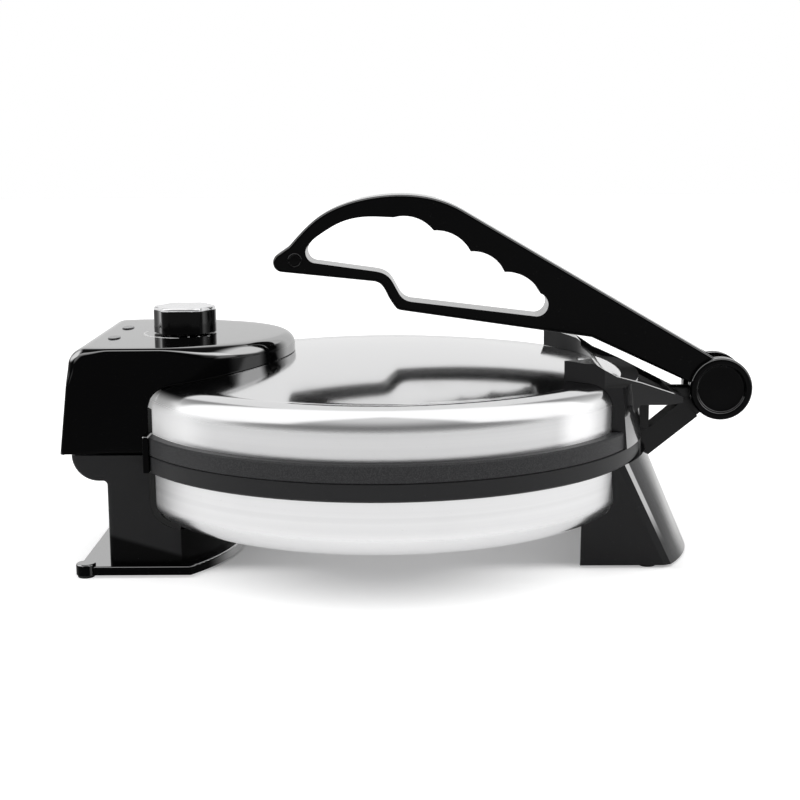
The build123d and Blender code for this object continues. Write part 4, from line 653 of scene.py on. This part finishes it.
def add_skin(name, mesh, body, node, slot, merge=WELD):
    """Welds doubles, turns faces outward, shades smooth, ties the new object to body, slot and node."""
    work = bmesh.new()
    work.from_mesh(mesh)
    bmesh.ops.remove_doubles(work, verts=work.verts, dist=merge)
    bmesh.ops.recalc_face_normals(work, faces=work.faces)
    work.to_mesh(mesh)
    work.free()
    mesh.polygons.foreach_set("use_smooth", np.ones(len(mesh.polygons), bool))
    mesh.materials.append(FINISH[slot])
    piece = bpy.data.objects.new(name, mesh)
    bpy.context.collection.objects.link(piece)
    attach(piece, body)
    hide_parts(node)
    print(name, len(mesh.polygons), "faces")
    return piece


def arc(centre, radius, first, last, count):
    """Points centre + radius * (cos a, sin a), with a from first to last in degrees."""
    angle = np.radians(np.linspace(first, last, count))
    return np.stack([centre[0] + radius * np.cos(angle), centre[1] + radius * np.sin(angle)], -1)


def line(first, last, count, ends=True):
    """Evenly spaced points from first to last; ends=False leaves both end points out."""
    t = np.linspace(0, 1, count) if ends else np.linspace(0, 1, count + 2)[1:-1]
    return np.asarray(first) + t[:, None] * (np.asarray(last, float) - np.asarray(first))


def revolved(name, profile, steps=360):
    """Each profile point (r, z) swept round the axis: (r cos a, r sin a, z). Ends at r = 0 are poles."""
    angle = np.linspace(0, 2 * np.pi, steps, endpoint=False)
    r, z = profile[:, :1], profile[:, 1:]
    rings = np.stack([r * np.cos(angle), r * np.sin(angle), z + 0 * angle], -1)
    return grid_mesh(name, place(rings), close_u=True)


print("skin helpers ready")

# %% [markdown]
# ### The lid's steel cover
# One profile, turned about the axis: a shallow crown of 695 mm radius, a crease where it meets the
# rolled shoulder of 12 mm radius, the wall, and the same line again inside, one sheet thinner.
# The crown arrives at the shoulder with a slope of almost ten degrees, and that crease is what
# draws the thin light and dark double line round the lid.

# %% Lid skin
def crown_height(r, lift=0.0):
    """Height of the crown's arc at radius r: top - R + sqrt(R^2 - r^2)."""
    return CROWN_Z + lift - CROWN_R + np.sqrt(CROWN_R ** 2 - np.asarray(r, float) ** 2)


def crown_line(last_r, lift, count):
    """The crown's arc from the middle to last_r."""
    r = np.linspace(0, last_r, count)
    return np.stack([r, crown_height(r, lift)], -1)


shoulder = (CROWN_FOOT_R, SHOULDER_Z - SHOULDER_R)
outer = np.vstack([crown_line(shoulder[0] - 0.35, 0, 60), arc(shoulder, SHOULDER_R, 88.5, 0, 40),
                   line((LID_R, shoulder[1]), (LID_R, LEDGE_Z), 20, ends=False), [(LID_R, LEDGE_Z)]])
inner = np.vstack([[(LID_R - SHEET, LEDGE_Z)], arc(shoulder, SHOULDER_R - SHEET, 0, 88.5, 16),
                   crown_line(shoulder[0] - 0.4, -SHEET, 24)[::-1]])
lid_mesh = revolved("lid_shell_spun", np.vstack([outer, inner]))
add_skin("lid_shell_spun", lid_mesh, "lid", "lid_shell", "lid_steel")

# %% [markdown]
# ### The pan
# The pan hangs below the seam: wall, corner of 12 mm radius and a flat bottom, then the same
# inside. The profile ends where it began, so the turned surface is closed.

# %% Pan skin
corner = (PAN_R - PAN_CORNER_R, PAN_BOTTOM_Z + PAN_CORNER_R)
outer = np.vstack([[(PAN_R, -LEDGE_Z)], line((PAN_R, -LEDGE_Z), (PAN_R, corner[1]), 16, ends=False),
                   arc(corner, PAN_CORNER_R, 0, -90, 40),
                   line((corner[0], PAN_BOTTOM_Z), (0, PAN_BOTTOM_Z), 12)[1:]])
inner = np.vstack([line((0, PAN_BOTTOM_Z + SHEET), (corner[0], PAN_BOTTOM_Z + SHEET), 8),
                   arc(corner, PAN_CORNER_R - SHEET, -90, 0, 16)[1:], [(PAN_R - SHEET, -LEDGE_Z)]])
pan_mesh = revolved("base_pan_pressed", np.vstack([outer, inner, outer[:1]]))
add_skin("base_pan_pressed", pan_mesh, "base", "base_pan", "pan_steel")

# %% [markdown]
# ### The control box
# A leaning front with a soft brow, two flat sides and a round tongue that lies on the lid. Think of
# the sharp edge where roof and side would meet: up the front, over the brow, along the roof, round
# the tongue. A rolled edge is carried along it; the roof closes to the middle, the wall goes down.

# %% Control box: the sharp edge and its two normals
BOX_HALF, BOX_TOP, BOX_LOW, BOX_FOOT_X, TONGUE_X = 60.0, 52.0, -1.3, -162.0, -107.7
LEAN, BROW_R, BROW_X = math.atan(6.5 / 53.3), 9.0, -155.5
BROW = (BROW_X + BROW_R * (1 / math.cos(LEAN) - math.tan(LEAN)), BOX_TOP - BROW_R)
LID_GAP_R, STEP_X = LID_R + 2.0, 0.02          # the wall's foot steps up onto the lid at this radius
CROSS_X = -float(np.sqrt(LID_GAP_R ** 2 - BOX_HALF ** 2))


def edge_path():
    """Sharp edge P, roof normal A and side normal B of the near half, front foot to tongue tip."""
    tilt = np.concatenate([np.full(26, LEAN), np.linspace(LEAN, np.pi / 2, 28)[1:]])
    bend = np.stack([BROW[0] - BROW_R * np.cos(tilt), 0 * tilt - BOX_HALF,
                     BROW[1] + BROW_R * np.sin(tilt)], -1)
    low = np.array([BOX_FOOT_X, -BOX_HALF, BOX_LOW])
    bend[:26] = low + np.linspace(0, 1, 26)[:, None] * (bend[25] - low)
    x = np.concatenate([np.linspace(BROW[0], CROSS_X - STEP_X, 16)[1:],
                        np.linspace(CROSS_X + STEP_X, TONGUE_X, 8)])
    roof = np.stack([x, 0 * x - BOX_HALF, 0 * x + BOX_TOP], -1)
    psi = np.linspace(-np.pi / 2, 0, 80)[1:]
    tongue = np.stack([TONGUE_X + BOX_HALF * np.cos(psi), BOX_HALF * np.sin(psi), 0 * psi + BOX_TOP], -1)
    up = np.stack([-np.cos(tilt), 0 * tilt, np.sin(tilt)], -1)
    rest = len(roof) + len(tongue)
    normal_a = np.vstack([up, np.tile([0.0, 0.0, 1.0], (rest, 1))])
    flat = np.tile([0.0, -1.0, 0.0], (len(bend) + len(roof), 1))
    round_b = np.stack([np.cos(psi), np.sin(psi), 0 * psi], -1)
    return np.vstack([bend, roof, tongue]), normal_a, np.vstack([flat, round_b])


sharp, up_side, out_side = edge_path()
print("edge", len(sharp), "points, brow centre", [round(c, 1) for c in BROW])

# %% [markdown]
# The rolled edge is small along the sides, wider over the brow and widest round the tongue. Only
# the near half is worked out; its mirror image makes the far half, and the weld joins them. A
# modifier then gives the moulding its wall.

# %% Control box surface
def smooth(value, low, high):
    """Smooth step of an array between two values."""
    t = np.clip((value - low) / (high - low), 0, 1)
    return t * t * (3 - 2 * t)


def box_foot(x, y):
    """Lower edge of the wall: free in front, then just above the lid's shoulder and crown."""
    r = np.hypot(x, y)
    roll = shoulder[1] + 12.2 * np.sqrt(np.clip(1 - ((r - shoulder[0]) / 14.0) ** 2, 0, 1))
    on_lid = np.where(r > shoulder[0], roll, crown_height(np.minimum(r, shoulder[0]), 0.2))
    return np.where(r > LID_GAP_R, BOX_LOW, on_lid)


def box_half():
    """Rows from the middle of the roof over the rolled edge C + r(cos t A + sin t B) down to the foot."""
    brow = smooth(sharp[:, 2], 32, 45) * (1 - smooth(sharp[:, 0], -150, -136))
    tongue = smooth(sharp[:, 0], -112, -84)
    radius = (2.2 - 0.3 * smooth(sharp[:, 2], 40, 52) + 4.6 * tongue + 2.6 * brow)[:, None]
    spine = np.stack([np.minimum(sharp[:, 0], TONGUE_X), 0 * sharp[:, 0], sharp[:, 2]], -1)
    first = sharp - radius * out_side
    across = [spine + t * (first - spine) for t in np.linspace(0, 1, 10)]
    heart = sharp - radius * (up_side + out_side)
    turn = np.radians(np.linspace(0, 90, 13)[1:])
    rolled = [heart + radius * (np.cos(t) * up_side + np.sin(t) * out_side) for t in turn]
    wall_top = rolled[-1]
    steps = np.concatenate([[0], np.cumsum(np.linalg.norm(np.diff(wall_top, axis=0), axis=1))])
    free = sharp[:, 0] < CROSS_X
    reach = np.clip(steps / steps[free][-1], 0, 1)
    foot_x = np.where(free, wall_top[0, 0] + reach * (CROSS_X - STEP_X - wall_top[0, 0]), wall_top[:, 0])
    foot = np.stack([foot_x, wall_top[:, 1], box_foot(wall_top[:, 0], wall_top[:, 1])], -1)
    down = [wall_top + t * (foot - wall_top) for t in np.linspace(0, 1, 14)[1:]]
    return np.stack(across + rolled + down)


near_half = box_half()
far_half = (near_half * (1, -1, 1))[:, ::-1]
box_mesh = grid_mesh("control_box_gloss", place(np.concatenate([near_half[:, :-1], far_half], 1)))
box_skin = add_skin("control_box_gloss", box_mesh, "lid", "control_box", "gloss_black", merge=5e-6)
wall = box_skin.modifiers.new("wall", "SOLIDIFY")
wall.thickness, wall.offset = 0.0018, -1.0

# %% [markdown]
# ### The knob and its bright disc
# The knob's plan is a circle with six hollow finger flutes: at each angle the radius is the
# smaller of the circle and the flute's own arc, blended so that the ridges are rounded.

# %% Knob
KNOB_X, KNOB_R, FLUTE_R, FLUTE_IN, FLUTES, RIDGE_SOFT = -105.8, 16.5, 12.0, 1.6, 6, 0.8
KNOB_LOW, DISC_LOW, DISC_TOP = 52.5, 64.5, 66.5


def fluted(angle):
    """Plan radius: soft minimum of the round and the flute circle centred outside it."""
    pitch = 2 * np.pi / FLUTES
    off = (angle - np.pi / 2 + pitch / 2) % pitch - pitch / 2
    reach = KNOB_R + FLUTE_R - FLUTE_IN
    hollow = reach * np.cos(off) - np.sqrt(np.clip(FLUTE_R ** 2 - (reach * np.sin(off)) ** 2, 0.01, None))
    return -RIDGE_SOFT * np.log(np.exp(-KNOB_R / RIDGE_SOFT) + np.exp(-hollow / RIDGE_SOFT))


def fluted_body(name, profile, steps=288):
    """Profile rows (inset, z) carried round the fluted plan; an inset of None closes at the axis."""
    angle = np.linspace(0, 2 * np.pi, steps, endpoint=False)
    depth = np.array([(0.0, 0.0) if inset is None else (1.0, inset) for inset, _ in profile])
    radius = fluted(angle) * depth[:, :1] - depth[:, 1:]
    z = np.array([z for _, z in profile])[:, None] + 0 * angle
    around = np.stack([KNOB_X + radius * np.cos(angle), radius * np.sin(angle), z], -1)
    return grid_mesh(name, place(around), close_u=True)


edge = np.radians(np.linspace(0, 90, 7))
FOOT_ROUND, TOP_ROUND = 0.4, 0.35
knob_profile = [(None, KNOB_LOW)]
knob_profile += [(FOOT_ROUND * (1 - np.sin(a)), KNOB_LOW + FOOT_ROUND * (1 - np.cos(a))) for a in edge]
knob_profile += [(0.0, z) for z in np.linspace(KNOB_LOW + 1, DISC_LOW - 1, 8)]
knob_profile += [(TOP_ROUND * (1 - np.cos(a)), DISC_LOW - TOP_ROUND * (1 - np.sin(a))) for a in edge]
knob_profile += [(None, DISC_LOW)]
add_skin("knob_fluted", fluted_body("knob_fluted", knob_profile), "knob", "knob", "knob_black")
disc_profile = [(None, DISC_LOW), (0.25, DISC_LOW), (0.2, DISC_LOW + 0.15), (0.2, DISC_TOP - 0.8),
                (0.35, DISC_TOP - 0.5), (0.9, DISC_TOP - 0.08), (1.1, DISC_TOP), (1.5, DISC_TOP),
                (1.8, DISC_TOP - 0.05), (2.1, DISC_TOP - 0.06), (2.5, DISC_TOP - 0.06),
                (None, DISC_TOP - 0.06)]
add_skin("knob_disc_turned", fluted_body("knob_disc_turned", disc_profile), "knob", "knob_cap", "knob_metal")

# %% [markdown]
# ### The hinge caps
# Each end of the barrel is closed by a dished cap: a rounded rim like half a torus, then a bowl
# that is almost flat. The same profile is turned round the hinge axis for both ends.

# %% Hinge caps
PIVOT_X, PIVOT_Z, BARREL_R, CAP_Y = 177.1, 22.0, 16.4, 11.0
TURNS = np.linspace(0, 2 * np.pi, 120, endpoint=False)


def turned_button(name, centre_x, centre_z, profile, side):
    """Profile points (r, depth) turned round an axis along y, on the near side (-1) or far side (1)."""
    r, depth = profile[:, :1], profile[:, 1:]
    ring = np.stack([centre_x + r * np.cos(TURNS), side * (CAP_Y + depth) + 0 * TURNS,
                     centre_z + r * np.sin(TURNS)], -1)
    return grid_mesh(name, place(ring), close_u=True)


rim_out = arc((BARREL_R - 1.6, 2.6), 1.6, 0, 90, 12)
rim_in = arc((BARREL_R - 2.6, 2.9), 1.3, 90, 180, 12)
bowl = np.vstack([arc((BARREL_R - 4.9, 3.0), 1.0, 0, -90, 8), line((9.4, 2.0), (0, 2.25), 12)])
cap_line = np.vstack([[(0, 0), (BARREL_R - 0.2, 0.0), (BARREL_R, 0.2)],
                      line((BARREL_R, 0.4), (BARREL_R, 2.5), 4), rim_out, rim_in, bowl])
for end, side in (("near", -1), ("far", 1)):
    name = "hinge_cap_turned_" + end
    cap_mesh = turned_button(name, PIVOT_X, PIVOT_Z, cap_line, side)
    add_skin(name, cap_mesh, "handle", "hinge_cap_" + end, "handle_black")

# %% [markdown]
# ### The plugs at the handle's tip
# The handle's tip is closed on both sides by a button in a ring groove, turned like the caps.

# %% Tip plugs
PLUG_X, PLUG_Z = PIVOT_X - 223.2, PIVOT_Z + 68.8
groove = np.vstack([[(0, 0.05), (2.6, 0.0)], arc((2.6, -0.35), 0.35, 90, 20, 6), [(3.0, -0.8)],
                    arc((3.35, -0.25), 0.32, 200, 90, 8), [(3.68, 0.02), (3.68, -1.2), (0, -1.2)]])
for end, side in (("near", -1), ("far", 1)):
    name = "tip_plug_" + end
    plug_mesh = turned_button(name, PLUG_X, PLUG_Z, groove, side)
    add_skin(name, plug_mesh, "handle", "handle_plugs", "handle_black")

# %% [markdown]
# ### Printed marks on the roof
# A white arc that thickens as it goes round the knob, and three dots after it, are screen-printed.
# They are ribbons a few hundredths of a millimetre above the gloss, plain signs without letters.

# %% Printed marks
print_white, tree, shader, spot = start("print_white_ink")
skin = use(tree, grain_group, spot, Grains_per_metre=3500.0, Roughness=0.5, Spread=0.15)
tree.links.new(skin["Roughness"], shader.inputs["Roughness"])
ink = blend_colour(tree, ramp(tree, skin["Height"], 0.3, 0.7), (0.80, 0.80, 0.80), (0.90, 0.90, 0.90))
tree.links.new(ink, shader.inputs["Base Color"])
INK_Z, MARK_X, DOT_HALF, DOT_TURN = BOX_TOP + 0.05, -105.0, 0.75, 2.2
DOTS = ((18.5, -79.4), (18.6, -62.3), (19.9, -47.6))          # radius in mm, angle in degrees


def ribbon(centre_r, half_width, first, last, count):
    """Flat arc round the knob's axis from first to last degrees, its half width given per point."""
    angle = np.radians(np.linspace(first, last, count))
    radii = centre_r + np.linspace(-1, 1, 3)[:, None] * half_width
    z = np.full(radii.shape, INK_Z) + np.array([[-0.04], [0.0], [-0.04]])
    return np.stack([MARK_X + radii * np.cos(angle), radii * np.sin(angle), z], -1)


arc_width = 0.55 + 0.60 * np.linspace(0, 1, 60) ** 1.2
arc_width[-6:] *= np.sqrt(np.linspace(1, 0.05, 6))
dot_width = DOT_HALF * np.sqrt(np.clip(1 - np.linspace(-1, 1, 13) ** 2, 0.01, 1))
strips = [ribbon(22.3, arc_width, -192, -92, 60)]
strips += [ribbon(r, dot_width, a - DOT_TURN, a + DOT_TURN, 13) for r, a in DOTS]
for number, strip in enumerate(strips):
    mesh = grid_mesh("print_mark_%d" % number, place(strip))
    mesh.materials.append(print_white)
    mark = bpy.data.objects.new("print_mark_%d" % number, mesh)
    bpy.context.collection.objects.link(mark)
    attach(mark, "lid")
print("marks", len(strips))
